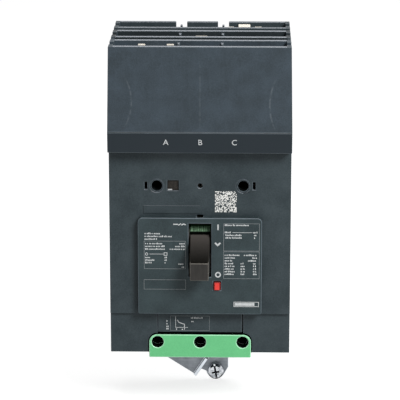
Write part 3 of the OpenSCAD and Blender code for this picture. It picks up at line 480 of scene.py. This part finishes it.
# Machined steel, painted near black as the shade deep in the lug holes: it throws back almost nothing.
LUG_SCREW_PAINTED_SHADE = Finish("steel_turned_painted_shade", "#0E0F10", "#08090A", 0.6, 0.1, cloud_mm=2.5, metallic=1.0)
SPRING = Finish("spring_steel_drawn_wire", "#9A9CA0", "#7C7E83", 0.3, cloud_mm=2.0, flow=Flow.ACROSS,
                metallic=1.0)
CHUTE = Finish("plated_steel_deion_stack", "#8C8880", "#6E6A63", 0.4, 0.1, cloud_mm=3.0, metallic=1.0)
# Rolled copper: warm salmon with tea-coloured tarnish clouds.
COPPER = Finish("copper_rolled_strip", "#C9825A", "#A86544", 0.32, 0.1, cloud_mm=6.0, grain_mm=0.6,
                flow=Flow.UP, metallic=1.0)
# Copper jaw under matt tin, which scatters light like pale paint: slightly golden where the tin is thin.
JAW = Finish("copper_matt_tin_plated", "#F3EEE4", "#E9E0D0", 0.55, 0.08, cloud_mm=5.0, grain_mm=0.6,
             grain_height_mm=0.006, metallic=0.4)
LUG = Finish("tinned_aluminium_extruded", "#CDD0D2", "#B3B7BA", 0.34, 0.08, cloud_mm=4.0, flow=Flow.UP,
             metallic=1.0)
# The same lug with its rounded corners painted near black as the shade in its hole.
LUG_EDGE = Finish("tinned_aluminium_corner_painted_shade", "#1B1C1D", "#111213", 0.6, cloud_mm=2.0, specular=0.1)
SILVER = Finish("silver_alloy_pressed", "#E4E2DE", "#CFCCC6", 0.3, cloud_mm=1.5, metallic=1.0)
BIMETAL = Finish("bimetal_rolled_strip", "#A99878", "#877A62", 0.34, cloud_mm=3.0, flow=Flow.UP,
                 metallic=1.0)
# Pad-printed epoxy ink: flat pale grey, a little thin and uneven over the texture below it.
INK = Finish("epoxy_ink_pad_printed", "#D6D9D9", "#BABEBF", 0.6, cloud_mm=1.2, grain_mm=0.4)
FAINT_INK = Finish("epoxy_ink_pad_printed_thin", "#8B9092", "#6F7577", 0.6, cloud_mm=1.2, grain_mm=0.4)
# Laser-marked patch: the grain is bleached to a dry pale grey.
ETCH = Finish("laser_etched_plastic", "#F2F2EE", "#D2D3CF", 0.75, cloud_mm=0.9, grain_mm=0.4)
# Printed polyester film on the toggle: dark green with a satin face.
FILM = Finish("polyester_film_printed_green", "#0F3419", "#0A2812", 0.45, cloud_mm=3.0, specular=0.25)
# A black strip painted as the shade between the film and the handle.
FILM_PAINTED_SHADE = Finish("film_painted_shade", "#060706", "#030403", 0.8, cloud_mm=2.0, specular=0.0)
FILM_INK = Finish("screen_ink_on_film", "#7C9E7E", "#4E7353", 0.5, cloud_mm=0.8, specular=0.25)


# Printed and laid-on marks


@dataclass(frozen=True)
class Panel:
    """A flat place on the case that marks are laid on, with its own upright direction."""

    origin: Point3
    up: Point3 = (0.0, 0.0, 1.0)

    def point(self, u: float, v: float, lift: float) -> Vector:
        """Row position of a panel point.

        Args:
            u: Millimetres to the right of the origin.
            v: Millimetres up the panel from the origin.
            lift: Millimetres out of the panel.

        Returns:
            The position in metres.
        """
        right = Vector((1.0, 0.0, 0.0))
        up = Vector(self.up).normalized()
        place = Vector(self.origin) + right * u + up * v + right.cross(up) * lift
        return row(*place)


COVER_Y, FACE_Y, STEP_Y = -78.0, -83.0, -76.0
FACE_PANEL = Panel((0.0, FACE_Y, 0.0))
COVER_PANEL = Panel((0.0, COVER_Y, 0.0))
END_PANEL = Panel((0.0, STEP_Y, 0.0))
SIGHT_PANEL = Panel((0.0, COVER_Y + 1.5, 0.0))
SEAM_PANEL = Panel((0.0, STEP_Y + 1.8, 0.0))
BAND_PANEL = Panel((0.0, -87.2, 133.6), (0.0, -0.8, 12.9))

# Corners nearer than this are one corner.
WELD_MM = 0.002
# Lines that turn by more than this cosine allows keep a blunter corner.
MITRE_LIMIT = 0.4
# Fine print's blocks, as shares of their height: narrowest and widest, and their rises and gaps.
NARROW = (0.4, 0.75)
BLOCK_HEIGHTS = (0.72, 0.72, 1.0)
BLOCK_GAPS = (0.22, 0.22, 0.22, 0.6)


@dataclass
class Marks:
    """Flat marks on one panel, built as one thin closed mesh."""

    name: str
    panel: Panel
    thickness: float = 0.05
    faces: list[list[Point2]] = field(default_factory=list)

    def bar(self, u: Point2, v: Point2) -> None:
        """Add an upright rectangle between two limits each way."""
        self.faces.append([(u[0], v[0]), (u[1], v[0]), (u[1], v[1]), (u[0], v[1])])

    def outline(self, u: Point2, v: Point2, stroke: float) -> None:
        """Add a rectangular frame of that stroke.

        Args:
            u: Left and right limits.
            v: Lower and upper limits.
            stroke: Width of the line.
        """
        self.bar(u, (v[0], v[0] + stroke))
        self.bar(u, (v[1] - stroke, v[1]))
        for left in (u[0], u[1] - stroke):
            self.bar((left, left + stroke), (v[0] + stroke, v[1] - stroke))

    def stroke(self, points: list[Point2], width: float) -> None:
        """Add a mitred line through points.

        Args:
            points: Corners of the line.
            width: Width of the line.
        """
        corners, sides = [Vector(point) for point in points], []
        runs = [(b - a).normalized() for a, b in zip(corners, corners[1:])]
        for corner, before, after in zip(corners, runs[:1] + runs, runs + runs[-1:]):
            along = (before + after).normalized()
            reach = width / 2 / max(along.dot(before), MITRE_LIMIT)
            across = Vector((-along.y, along.x)) * reach
            sides.append((tuple(corner + across), tuple(corner - across)))
        for (a, b), (c, d) in zip(sides, sides[1:]):
            self.faces.append([a, b, d, c])

    def ring(self, centre: Point2, radius: float, width: float, sides: int = 40) -> None:
        """Add a ring.

        Args:
            centre: Its middle.
            radius: Its outer radius.
            width: Width of its line.
            sides: Number of straight pieces.
        """
        turn = [2 * math.pi * k / sides for k in range(sides + 1)]
        inner = radius - width
        for a, b in zip(turn, turn[1:]):
            self.faces.append([(centre[0] + r * math.cos(t), centre[1] + r * math.sin(t))
                               for r, t in ((inner, a), (radius, a), (radius, b), (inner, b))])

    def fine_print(self, rows: Sequence[Point3], height: float, draw: random.Random) -> None:
        """Add rows of small blocks that read as fine print from a step away.

        Args:
            rows: Left limit, right limit and foot of each row.
            height: Height of the blocks.
            draw: Source of the blocks' widths.
        """
        for left, right, foot in rows:
            while left < right - height * NARROW[0]:
                width = min(height * draw.uniform(*NARROW), right - left)
                self.bar((left, left + width), (foot, foot + height * draw.choice(BLOCK_HEIGHTS)))
                left += width + height * draw.choice(BLOCK_GAPS)

    def letters(self, text: str, centre: Point2, height: float) -> None:
        """Add plain block letters.

        Args:
            text: What they say.
            centre: Their middle.
            height: Their height.
        """
        curve = bpy.data.curves.new("letters", "FONT")
        curve.body = text
        holder = bpy.data.objects.new("letters", curve)
        bpy.context.scene.collection.objects.link(holder)
        shape = bpy.data.meshes.new_from_object(holder.evaluated_get(bpy.context.evaluated_depsgraph_get()))
        spots = [v.co.xy for v in shape.vertices]
        across, up = zip(*spots)
        scale = height / (max(up) - min(up))
        middle = Vector((max(across) + min(across), max(up) + min(up))) / 2
        for polygon in shape.polygons:
            self.faces.append([tuple(Vector(centre) + (spots[k] - middle) * scale) for k in polygon.vertices])
        bpy.data.objects.remove(holder)
        bpy.data.curves.remove(curve)
        bpy.data.meshes.remove(shape)

    def build(self, finish: Finish = INK, slot: str = "print_ink") -> None:
        """Make the marks' mesh, a little sunk into the panel, on the case.

        Args:
            finish: Finish of the marks.
            slot: The record's material slot; not used.
        """
        mesh = bmesh.new()
        for face in self.faces:
            mesh.faces.new([mesh.verts.new(self.panel.point(u, v, -self.thickness)) for u, v in face])
        bmesh.ops.remove_doubles(mesh, verts=mesh.verts[:], dist=WELD_MM * MM)
        raised = bmesh.ops.extrude_face_region(mesh, geom=mesh.faces[:])["geom"]
        lift = self.panel.point(0, 0, 2 * self.thickness) - self.panel.point(0, 0, 0)
        tops = [corner for corner in raised if isinstance(corner, bmesh.types.BMVert)]
        bmesh.ops.translate(mesh, vec=lift, verts=tops)
        make_piece(self.name, mesh, finish, "case")


def tube(mesh: bmesh.types.BMesh, rings: list[list[bmesh.types.BMVert]], smooth: bool = False) -> None:
    """Join rings of corners into a closed tube.

    Args:
        mesh: The mesh that holds the corners.
        rings: The rings in order, with as many corners each.
        smooth: Whether the sides are shaded as one curve.
    """
    mesh.faces.new(rings[0])
    mesh.faces.new(rings[-1][::-1])
    for a, b in zip(rings, rings[1:]):
        for k in range(len(a)):
            n = (k + 1) % len(a)
            mesh.faces.new([a[k], a[n], b[n], b[k]]).smooth = smooth


def make_piece(name: str, mesh: bmesh.types.BMesh, finish: Finish, body: str) -> bpy.types.Object:
    """Turn a mesh in the row frame into a piece that rides on a body.

    Args:
        name: The piece's name.
        mesh: Its shape, which is freed here.
        finish: Its finish.
        body: The CAD body that it rides on.

    Returns:
        The new piece.
    """
    bmesh.ops.recalc_face_normals(mesh, faces=mesh.faces[:])
    data = bpy.data.meshes.new(name)
    mesh.to_mesh(data)
    mesh.free()
    data.materials.append(finish.material())
    piece = bpy.data.objects.new(name, data)
    bpy.context.scene.collection.objects.link(piece)
    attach(piece, body)
    LOG.info("piece %s on %s: %d faces", name, body, len(data.polygons))
    return piece


# Faces that turn by less than the first are one flat, and by more than the second meet in a corner.
FLAT_DEGREES, CORNER_DEGREES = 1.5, 35.0


@dataclass
class Dressed:
    """A CAD node with its finish, and the corner radius that its moulding or pressing has."""

    node: str
    finish: Finish
    edge: Optional[Finish] = None
    radius: float = 0.0
    segments: int = 2
    flatten: bool = True

    def dress(self) -> None:
        """Give the node its finish and its softened corners."""
        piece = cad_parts[self.node]
        piece.data.materials.clear()
        piece.data.materials.append(self.finish.material())
        if self.radius:
            piece.data.materials.append((self.edge or self.finish).material())
            weld = piece.modifiers.new("join_faces", "WELD")
            weld.merge_threshold = WELD_MM * MM
            if self.flatten:
                flat = piece.modifiers.new("clear_flats", "DECIMATE")
                flat.decimate_type = "DISSOLVE"
                flat.angle_limit = math.radians(FLAT_DEGREES)
            soft = piece.modifiers.new("soft_corners", "BEVEL")
            soft.width = self.radius * MM
            soft.segments = self.segments
            soft.limit_method = "ANGLE"
            soft.angle_limit = math.radians(CORNER_DEGREES)
            soft.use_clamp_overlap = False
            soft.harden_normals = True
            # The rounded corners take the edge finish; most edge finishes paint a highlight along them, and
            # the lugs' a shade.
            soft.material = 1
        LOG.info("node %s: %s", self.node, self.finish.name)


def dress_all(rows: list[Dressed]) -> None:
    """Dress several CAD nodes in order."""
    for entry in rows:
        entry.dress()


# Sub-assemblies


@dataclass
class Housing:
    """Base, cover, line shield and insulator, with the moulded and marked places on them."""

    corner: float = 0.35
    letter_height: float = 3.4
    letter_v: float = 7.0
    letters: tuple[tuple[str, float], ...] = (("A", -20.9), ("B", 0.4), ("C", 21.4))
    code_u: Point2 = (9.4, 22.9)
    code_v: Point2 = (93.4, 106.9)
    code_cells: int = 24
    code_filled: float = 0.56
    pad_u: Point2 = (-35.4, 0.2)
    pad_v: Point2 = (92.3, 97.6)
    pad_steps: tuple[Point2, ...] = ((-0.1, 0.0), (0.25, 0.0), (0.4, 0.25))

    def build(self) -> None:
        """Dress the mouldings and lay on their marks."""
        dress_all([
            Dressed("base_case", HOUSING, HOUSING_EDGE, self.corner),
            Dressed("front_cover", HOUSING, HOUSING_EDGE, self.corner),
            Dressed("screw_wells", WELL_PAINTED_SHADE, WELL_RIM_PAINTED_HIGHLIGHT, self.corner),
            Dressed("line_shield", SHIELD, HOUSING_EDGE, self.corner),
            Dressed("line_insulator", POCKET, HOUSING_EDGE, self.corner),
            Dressed("sight_tab", SIGHT, SIGHT, 0.2),
            Dressed("case_screws", ZINC, ZINC_EDGE, 0.2),
            Dressed("cover_screws", DARK_STEEL, DARK_STEEL, 0.2),
        ])
        # A pale bar painted as a highlight at the window's lower left.
        glint = Marks("sight_painted_highlight", SIGHT_PANEL)
        glint.bar((-20.1, -17.4), (107.2, 107.9))
        glint.build()
        phases = Marks("phase_letters", BAND_PANEL)
        for text, x in self.letters:
            phases.letters(text, (x, self.letter_v), self.letter_height)
        phases.build()
        self.code_patch()
        self.blank_pad()

    def code_patch(self) -> None:
        """Square patch of scattered pale cells, with no finder corners, so that it holds no message."""
        draw = random.Random(11)
        patch = Marks("etched_cells", COVER_PANEL)
        step_u = (self.code_u[1] - self.code_u[0]) / self.code_cells
        step_v = (self.code_v[1] - self.code_v[0]) / self.code_cells
        for j in range(self.code_cells):
            for i in range(self.code_cells):
                if draw.random() < self.code_filled:
                    u = self.code_u[0] + i * step_u
                    v = self.code_v[0] + j * step_v
                    patch.bar((u, u + step_u), (v, v + step_v))
        patch.build(ETCH)

    def blank_pad(self) -> None:
        """Low moulded pad above the face plate, left bare."""
        mesh, rings = bmesh.new(), []
        for lift, inset in self.pad_steps:
            u0, u1 = self.pad_u[0] + inset, self.pad_u[1] - inset
            v0, v1 = self.pad_v[0] + inset, self.pad_v[1] - inset
            rings.append([mesh.verts.new(COVER_PANEL.point(u, v, lift))
                          for u, v in ((u0, v0), (u1, v0), (u1, v1), (u0, v1))])
        tube(mesh, rings)
        make_piece("blank_name_pad", mesh, HOUSING, "case")


@dataclass
class FacePlate:
    """Raised face plate with its printed tables and the switch marks beside the toggle."""

    corner: float = 0.5
    frame_stroke: float = 0.24
    frames: tuple[tuple[Point2, Point2], ...] = (
        ((14.8, 37.4), (69.5, 87.5)), ((14.8, 37.4), (51.4, 69.2)),
        ((-35.0, -8.75), (57.6, 75.9)), ((-35.2, -8.8), (44.1, 50.6)))
    print_height: float = 1.05
    upper_rows: tuple[Point3, ...] = (
        (15.6, 30.5, 85.9), (15.6, 19.6, 81.2), (33.4, 36.0, 81.2), (16.0, 26.2, 79.4), (33.9, 35.4, 79.4),
        (16.0, 26.2, 77.7), (33.9, 35.4, 77.7))
    lower_rows: tuple[Point3, ...] = (
        (15.6, 25.4, 66.4), (27.6, 36.0, 66.4), (15.6, 22.6, 64.6), (33.0, 36.0, 64.6), (15.6, 20.6, 62.8),
        (30.2, 36.0, 62.8))
    list_foot: float = 60.9
    list_pitch: float = 1.75
    left_rows: tuple[Point3, ...] = (
        (-34.6, -24.0, 80.2), (-34.6, -17.0, 78.4), (-34.6, -26.4, 76.6), (-34.3, -22.8, 73.7),
        (-12.8, -9.4, 73.7), (-34.3, -21.6, 71.9), (-15.4, -9.4, 71.9), (-34.3, -21.8, 70.1),
        (-18.8, -9.4, 70.1), (-34.3, -30.6, 64.6), (-34.3, -28.4, 62.9), (-34.3, -30.0, 61.2),
        (-13.4, -9.4, 60.4), (-11.4, -9.4, 58.4))
    short_rows: tuple[Point3, ...] = ((-22.1, -20.6, 64.6), (-22.1, -20.6, 62.9), (-22.1, -20.6, 61.2))
    mark_x: float = 11.4

    def build(self) -> None:
        """Dress the plate and print it."""
        dress_all([
            Dressed("face_plate", FACE, FACE_EDGE, self.corner, 3, flatten=False),
            Dressed("trip_button", BUTTON, BUTTON_EDGE, 0.35, 3),
        ])
        self.switch_marks()
        thin = Marks("table_frames", FACE_PANEL)
        for u, v in self.frames:
            thin.outline(u, v, self.frame_stroke)
        thin.build(FAINT_INK)
        self.tables()
        badge = Marks("blank_badge", FACE_PANEL)
        badge.outline((21.3, 37.2), (32.9, 36.2), 0.35)
        badge.bar((22.0, 34.4), (33.6, 35.5))
        badge.build()

    def switch_marks(self) -> None:
        """On bar, down chevron and off ring beside the window."""
        x, marks = self.mark_x, Marks("switch_marks", FACE_PANEL)
        marks.bar((x - 0.4, x + 0.4), (83.2, 86.8))
        marks.stroke([(x - 1.9, 74.9), (x - 0.2, 73.2), (x + 1.5, 74.9)], 1.0)
        marks.ring((x, 54.0), 1.85, 0.8)
        marks.build()

    def tables(self) -> None:
        """Rows of fine print in the frames, with nothing to read in them."""
        size, draw = self.print_height, random.Random(5)
        marks = Marks("printed_tables", FACE_PANEL)
        marks.fine_print(self.upper_rows, size, draw)
        marks.bar((20.4, 33.0), (81.5, 81.75))
        marks.fine_print(self.lower_rows, size, draw)
        for k in range(5):
            v = self.list_foot - k * self.list_pitch
            marks.fine_print(((15.6, 21.8 + 0.6 * (k % 2), v), (25.6, 28.2, v), (33.4, 35.8, v)), size, draw)
        marks.fine_print(self.left_rows, size, draw)
        marks.bar((-31.6, -22.8), (67.2, 67.45))
        marks.ring((-33.4, 67.3), 0.95, 0.35, 24)
        marks.outline((-22.6, -20.4), (66.3, 68.4), 0.35)
        marks.fine_print(self.short_rows, size, draw)
        marks.stroke([(-16.6, 86.8), (-13.6, 86.8)], 0.7)
        marks.stroke([(-13.4, 86.2), (-11.7, 87.3)], 0.6)
        marks.stroke([(-11.6, 86.4), (-11.0, 86.4), (-10.5, 87.0), (-9.9, 87.0), (-9.4, 86.6),
                      (-8.7, 86.6)], 0.6)
        marks.build()


@dataclass
class Toggle:
    """Toggle with its dust shield and the printed film that shows above the handle when it is off."""

    pivot: Point2 = (-58.0, 69.8)
    film_radius: float = 22.6
    film_sunk: float = 0.05
    film_thickness: float = 0.1
    film_half: float = 6.6
    film_angles: Point2 = (28.2, 40.5)
    painted_shade_low: float = 23.2
    print_left: float = -5.8
    print_gap: float = 0.4
    print_widths: tuple[float, ...] = (1.5, 0.5, 0.9, 1.3, 0.5, 1.1, 0.6, 1.4, 0.9)
    print_angles: Point2 = (29.2, 37.8)
    print_lift: float = 0.06
    steps: int = 16

    def build(self) -> None:
        """Dress the handle and lay the film on its dust shield."""
        dress_all([
            Dressed("toggle_handle", TOGGLE, TOGGLE_EDGE, 0.45, 3),
            Dressed("handle_yoke", ZINC, ZINC_EDGE, 0.15),
        ])
        whole = [(-self.film_half, self.film_half)]
        self.arc("toggle_film", FILM, whole, self.film_angles)
        # Black strip below the film, painted as shade.
        self.arc("toggle_film_painted_shade", FILM_PAINTED_SHADE, whole, (self.painted_shade_low, self.film_angles[0]))
        # Pale strokes across most of the film, with nothing to read in them.
        left, strokes = self.print_left, []
        for width in self.print_widths:
            strokes.append((left, left + width))
            left += width + self.print_gap
        self.arc("toggle_film_print", FILM_INK, strokes, self.print_angles, self.print_lift)

    def arc(
        self, name: str, finish: Finish, spans: list[Point2], angles: Point2, lift: float = 0.0,
    ) -> None:
        """Make curved patches on the dust shield as one piece.

        Args:
            name: The piece's name.
            finish: Its finish.
            spans: Left and right limits of each patch.
            angles: Lower and upper limits, in degrees above level.
            lift: Height of the patches' feet over the shield.
        """
        mesh = bmesh.new()
        inner = self.film_radius - self.film_sunk + lift
        outer = self.film_radius + self.film_thickness + lift
        for left, right in spans:
            rings = []
            for k in range(self.steps + 1):
                turn = math.radians(angles[0] + (angles[1] - angles[0]) * k / self.steps)
                forth, up = math.cos(turn), math.sin(turn)
                rings.append([mesh.verts.new(row(x, self.pivot[0] - r * forth, self.pivot[1] + r * up))
                              for x, r in ((left, inner), (right, inner), (right, outer), (left, outer))])
            tube(mesh, rings)
        make_piece(name, mesh, finish, "toggle")


@dataclass
class LineEnd:
    """Jaws, springs and straps of the line side."""

    corner: float = 0.25

    def build(self) -> None:
        """Dress the line side's metal."""
        rows = [Dressed("jaw_springs", SPRING, SPRING, 0.15)]
        for pole in POLES:
            rows.append(Dressed(f"jaw_{pole}", JAW, JAW, self.corner, flatten=False))
            rows.append(Dressed(f"line_strap_{pole}", COPPER, COPPER, self.corner))
        dress_all(rows)


@dataclass
class LoadEnd:
    """Green lug carrier, lugs, and the plate above it with its printed trip curve."""

    corner: float = 0.5
    frame_stroke: float = 0.18
    seam_x: Point2 = (32.42, 32.98)
    seam_z: Point2 = (0.05, 9.0)
    seam_half_depth: float = 2.0

    def build(self) -> None:
        """Dress the load side, close the seam's feet with painted shade and print the plate."""
        rows = [
            Dressed("lug_carrier", CARRIER, CARRIER_EDGE, self.corner, 3),
            Dressed("load_end_plate", HOUSING, HOUSING_EDGE, 0.3, flatten=False),
            Dressed("lug_screws", LUG_SCREW_PAINTED_SHADE, LUG_SCREW_PAINTED_SHADE, 0.2),
        ]
        for pole in POLES:
            rows.append(Dressed(f"load_lug_{pole}", LUG, LUG_EDGE, 0.3, flatten=False))
            rows.append(Dressed(f"load_strap_{pole}", COPPER, COPPER, 0.25))
        dress_all(rows)
        # Dark blocks fill the seam's open lower ends beside the carrier, painted as the shade in the seam.
        near, far = self.seam_x
        painted_shade_feet = Marks("seam_feet_painted_shade", SEAM_PANEL, self.seam_half_depth)
        for span in ((-far, -near), (near, far)):
            painted_shade_feet.bar(span, self.seam_z)
        painted_shade_feet.build(WELL_PAINTED_SHADE, "housing_plastic")
        edge = Marks("trip_curve_frame", END_PANEL)
        edge.outline((-18.9, 6.0), (14.5, 24.4), self.frame_stroke)
        edge.build(FAINT_INK)
        self.curve_print()

    def curve_print(self) -> None:
        """Small trip-curve graph with its marks."""
        draw = random.Random(3)
        marks = Marks("trip_curve_print", END_PANEL)
        marks.stroke([(-15.5, 24.0), (-15.5, 16.8)], 0.25)
        marks.stroke([(-15.7, 16.65), (-7.7, 16.65)], 0.25)
        marks.stroke([(-14.4, 21.7), (-13.6, 20.1), (-11.4, 19.2), (-9.9, 18.8), (-9.9, 15.2)], 0.4)
        marks.fine_print([(-21.4, -20.0, 15.2 + k * 1.7) for k in range(4)], 1.1, draw)
        marks.fine_print(((-5.8, 2.2, 22.6), (-5.5, -4.0, 20.3), (-15.2, -14.0, 15.0),
                          (-11.6, -10.4, 15.0)), 1.0, draw)
        marks.build()


@dataclass
class Mounting:
    """Zinc-plated bracket below the case, its rivets and the bright screw in its ear."""

    corner: float = 0.3

    def build(self) -> None:
        """Dress the bracket's pieces."""
        dress_all([
            Dressed("mounting_bracket", BRACKET, ZINC_EDGE, self.corner),
            Dressed("bracket_rivets", ZINC, ZINC_EDGE, 0.25),
            Dressed("mounting_screw", BRIGHT, BRIGHT, 0.15),
        ])


@dataclass
class Mechanism:
    """Everything that works inside the closed case."""

    corner: float = 0.2
    coil_axis: Point2 = (10.9, 42.5)
    coil_ends: Point2 = (-79.6, -67.9)
    coil_seat: float = -67.5
    coil_radius: float = 2.4
    coil_turns: int = 6
    coil_steps: int = 24
    wire_radius: float = 0.35
    wire_sides: int = 8
    closed_pitch: float = 2.1
    coil_kept: float = 0.855

    def build(self) -> None:
        """Dress the inner pieces and wind the button's spring."""
        plain = {
            "handle_pin": ZINC, "mechanism_frame": ZINC, "drive_links": ZINC, "cradle_pin": ZINC,
            "cradle": DARK_STEEL, "armature": DARK_STEEL, "magnet_yokes": DARK_STEEL,
            "rotor": PHENOLIC, "moving_contacts": SILVER,
            "line_contacts": SILVER, "load_contacts": SILVER,
        }
        rows = [Dressed(node, finish, finish, self.corner) for node, finish in plain.items()]
        rows += [Dressed("trip_bar", PHENOLIC), Dressed("toggle_spring", SPRING)]
        for pole in POLES:
            rows.append(Dressed(f"contact_bar_{pole}", COPPER, COPPER, self.corner))
            rows.append(Dressed(f"bimetal_{pole}", BIMETAL, BIMETAL, self.corner))
            rows.append(Dressed(f"line_chute_{pole}", CHUTE, CHUTE, 0.15))
            rows.append(Dressed(f"load_chute_{pole}", CHUTE, CHUTE, 0.15))
        dress_all(rows)
        self.trip_coil()

    def trip_coil(self) -> None:
        """Wind the spring behind the button, with closed ends."""
        x, z = self.coil_axis
        front, back = self.coil_ends
        wire, closed = self.wire_radius, self.closed_pitch * self.wire_radius
        pitch = (back - front - 2 * closed) / (self.coil_turns - 2)
        mesh, rings = bmesh.new(), []
        for k in range(self.coil_turns * self.coil_steps + 1):
            turn = k / self.coil_steps
            middle = min(max(turn - 1, 0), self.coil_turns - 2)
            y, angle = front + pitch * middle + closed * (turn - middle), 2 * math.pi * turn
            ring = []
            for side in range(self.wire_sides):
                lean = 2 * math.pi * side / self.wire_sides
                reach = self.coil_radius + wire * math.cos(lean)
                ring.append(mesh.verts.new(row(x + reach * math.cos(angle), y + wire * math.sin(lean),
                                               z + reach * math.sin(angle))))
            rings.append(ring)
        tube(mesh, rings, smooth=True)
        piece = make_piece("trip_coil", mesh, SPRING, "case")
        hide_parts("trip_spring")
        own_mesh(piece)


WHITE = (1.0, 1.0, 1.0, 1.0)


@dataclass
class Lamp:
    """Soft square lamp that looks at the case."""

    name: str
    place: Point3
    size: float
    watts: float

    def build(self) -> None:
        """Hang the lamp."""
        data = bpy.data.lights.new(self.name, "AREA")
        data.size = self.size
        data.energy = self.watts
        lamp = bpy.data.objects.new(self.name, data)
        lamp.location = self.place
        lamp.rotation_euler = (-Vector(self.place)).to_track_quat("-Z", "Y").to_euler()
        bpy.context.scene.collection.objects.link(lamp)


@dataclass
class Studio:
    """Pale floor, white surroundings, soft lamps and the camera."""

    camera_place: Point3 = (0.029592, -1.398667, 0.36185)
    camera_pitch: float = 0.2665
    camera_yaw: float = 0.0224
    lens: float = 197.25
    floor_reach: float = 6.0
    floor_drop: float = 0.0005
    floor_glow: float = 0.8
    floor_paint: str = "#C4C4C4"
    fill: float = 0.13
    lamps: tuple[Lamp, ...] = (
        Lamp("key_lamp", (0.78, -1.15, 1.0), 0.6, 29.0),
        Lamp("top_lamp", (0.1, 0.3, 1.5), 0.9, 8.0),
    )

    def build(self) -> None:
        """Set the camera, the lamps, the world and the floor."""
        scene = bpy.context.scene
        scene.view_settings.view_transform = "Standard"
        data = bpy.data.cameras.new("photo_camera")
        data.lens = self.lens
        camera = bpy.data.objects.new("photo_camera", data)
        camera.location = self.camera_place
        camera.rotation_euler = Euler((math.pi / 2 - self.camera_pitch, 0.0, self.camera_yaw))
        scene.collection.objects.link(camera)
        scene.camera = camera
        for lamp in self.lamps:
            lamp.build()
        self.world()
        self.floor()

    def seen(self, tree: Tree) -> bpy.types.Node:
        """One where a camera, glossy or transmission ray looks, else zero.

        Args:
            tree: The node tree that asks.

        Returns:
            The mask.
        """
        path = add_node(tree, "LightPath").outputs
        both = add_node(tree, "Math", {
            0: path["Is Camera Ray"], 1: path["Is Glossy Ray"]}, operation="MAXIMUM")
        return add_node(tree, "Math", {0: both, 1: path["Is Transmission Ray"]}, operation="MAXIMUM")

    def world(self) -> None:
        """White surroundings to look at, which light the case at the fill level."""
        made = bpy.data.worlds.new("white_studio")
        made.use_nodes = True
        tree = made.node_tree
        tree.nodes.clear()
        level = add_node(tree, "MapRange", {"Value": self.seen(tree), "To Min": self.fill, "To Max": 1.0})
        glow = add_node(tree, "Background", {"Color": WHITE, "Strength": level})
        add_node(tree, "OutputWorld", {"Surface": glow})
        bpy.context.scene.world = made

    def floor(self) -> None:
        """Pale floor under the bracket's lowest point, nearly white to look at, with a soft shadow."""
        made = bpy.data.materials.new("painted_board_matt_white")
        made.use_nodes = True
        tree = made.node_tree
        tree.nodes.clear()
        level = add_node(tree, "Math", {0: self.seen(tree), 1: self.floor_glow}, operation="MULTIPLY")
        glow = add_node(tree, "Emission", {"Color": WHITE, "Strength": level})
        paint = add_node(tree, "BsdfDiffuse", {"Color": linear(self.floor_paint)})
        both = add_node(tree, "AddShader", {0: glow, 1: paint})
        add_node(tree, "OutputMaterial", {"Surface": both})
        reach, z = self.floor_reach, CAD_BOX[0][2] - self.floor_drop
        corners = [(x * reach, y * reach, z) for x, y in ((-1, -1), (1, -1), (1, 1), (-1, 1))]
        data = bpy.data.meshes.new("floor")
        data.from_pydata(corners, [], [(0, 1, 2, 3)])
        data.materials.append(made)
        board = bpy.data.objects.new("floor", data)
        bpy.context.scene.collection.objects.link(board)


def main() -> None:
    """Build the studio and then each sub-assembly in order."""
    logging.basicConfig(level=logging.INFO, format="%(name)s: %(message)s")
    for part in (Studio(), Housing(), FacePlate(), Toggle(), LineEnd(), LoadEnd(), Mounting(), Mechanism()):
        LOG.info("building %s", type(part).__name__)
        part.build()


if __name__ == "__main__":
    main()
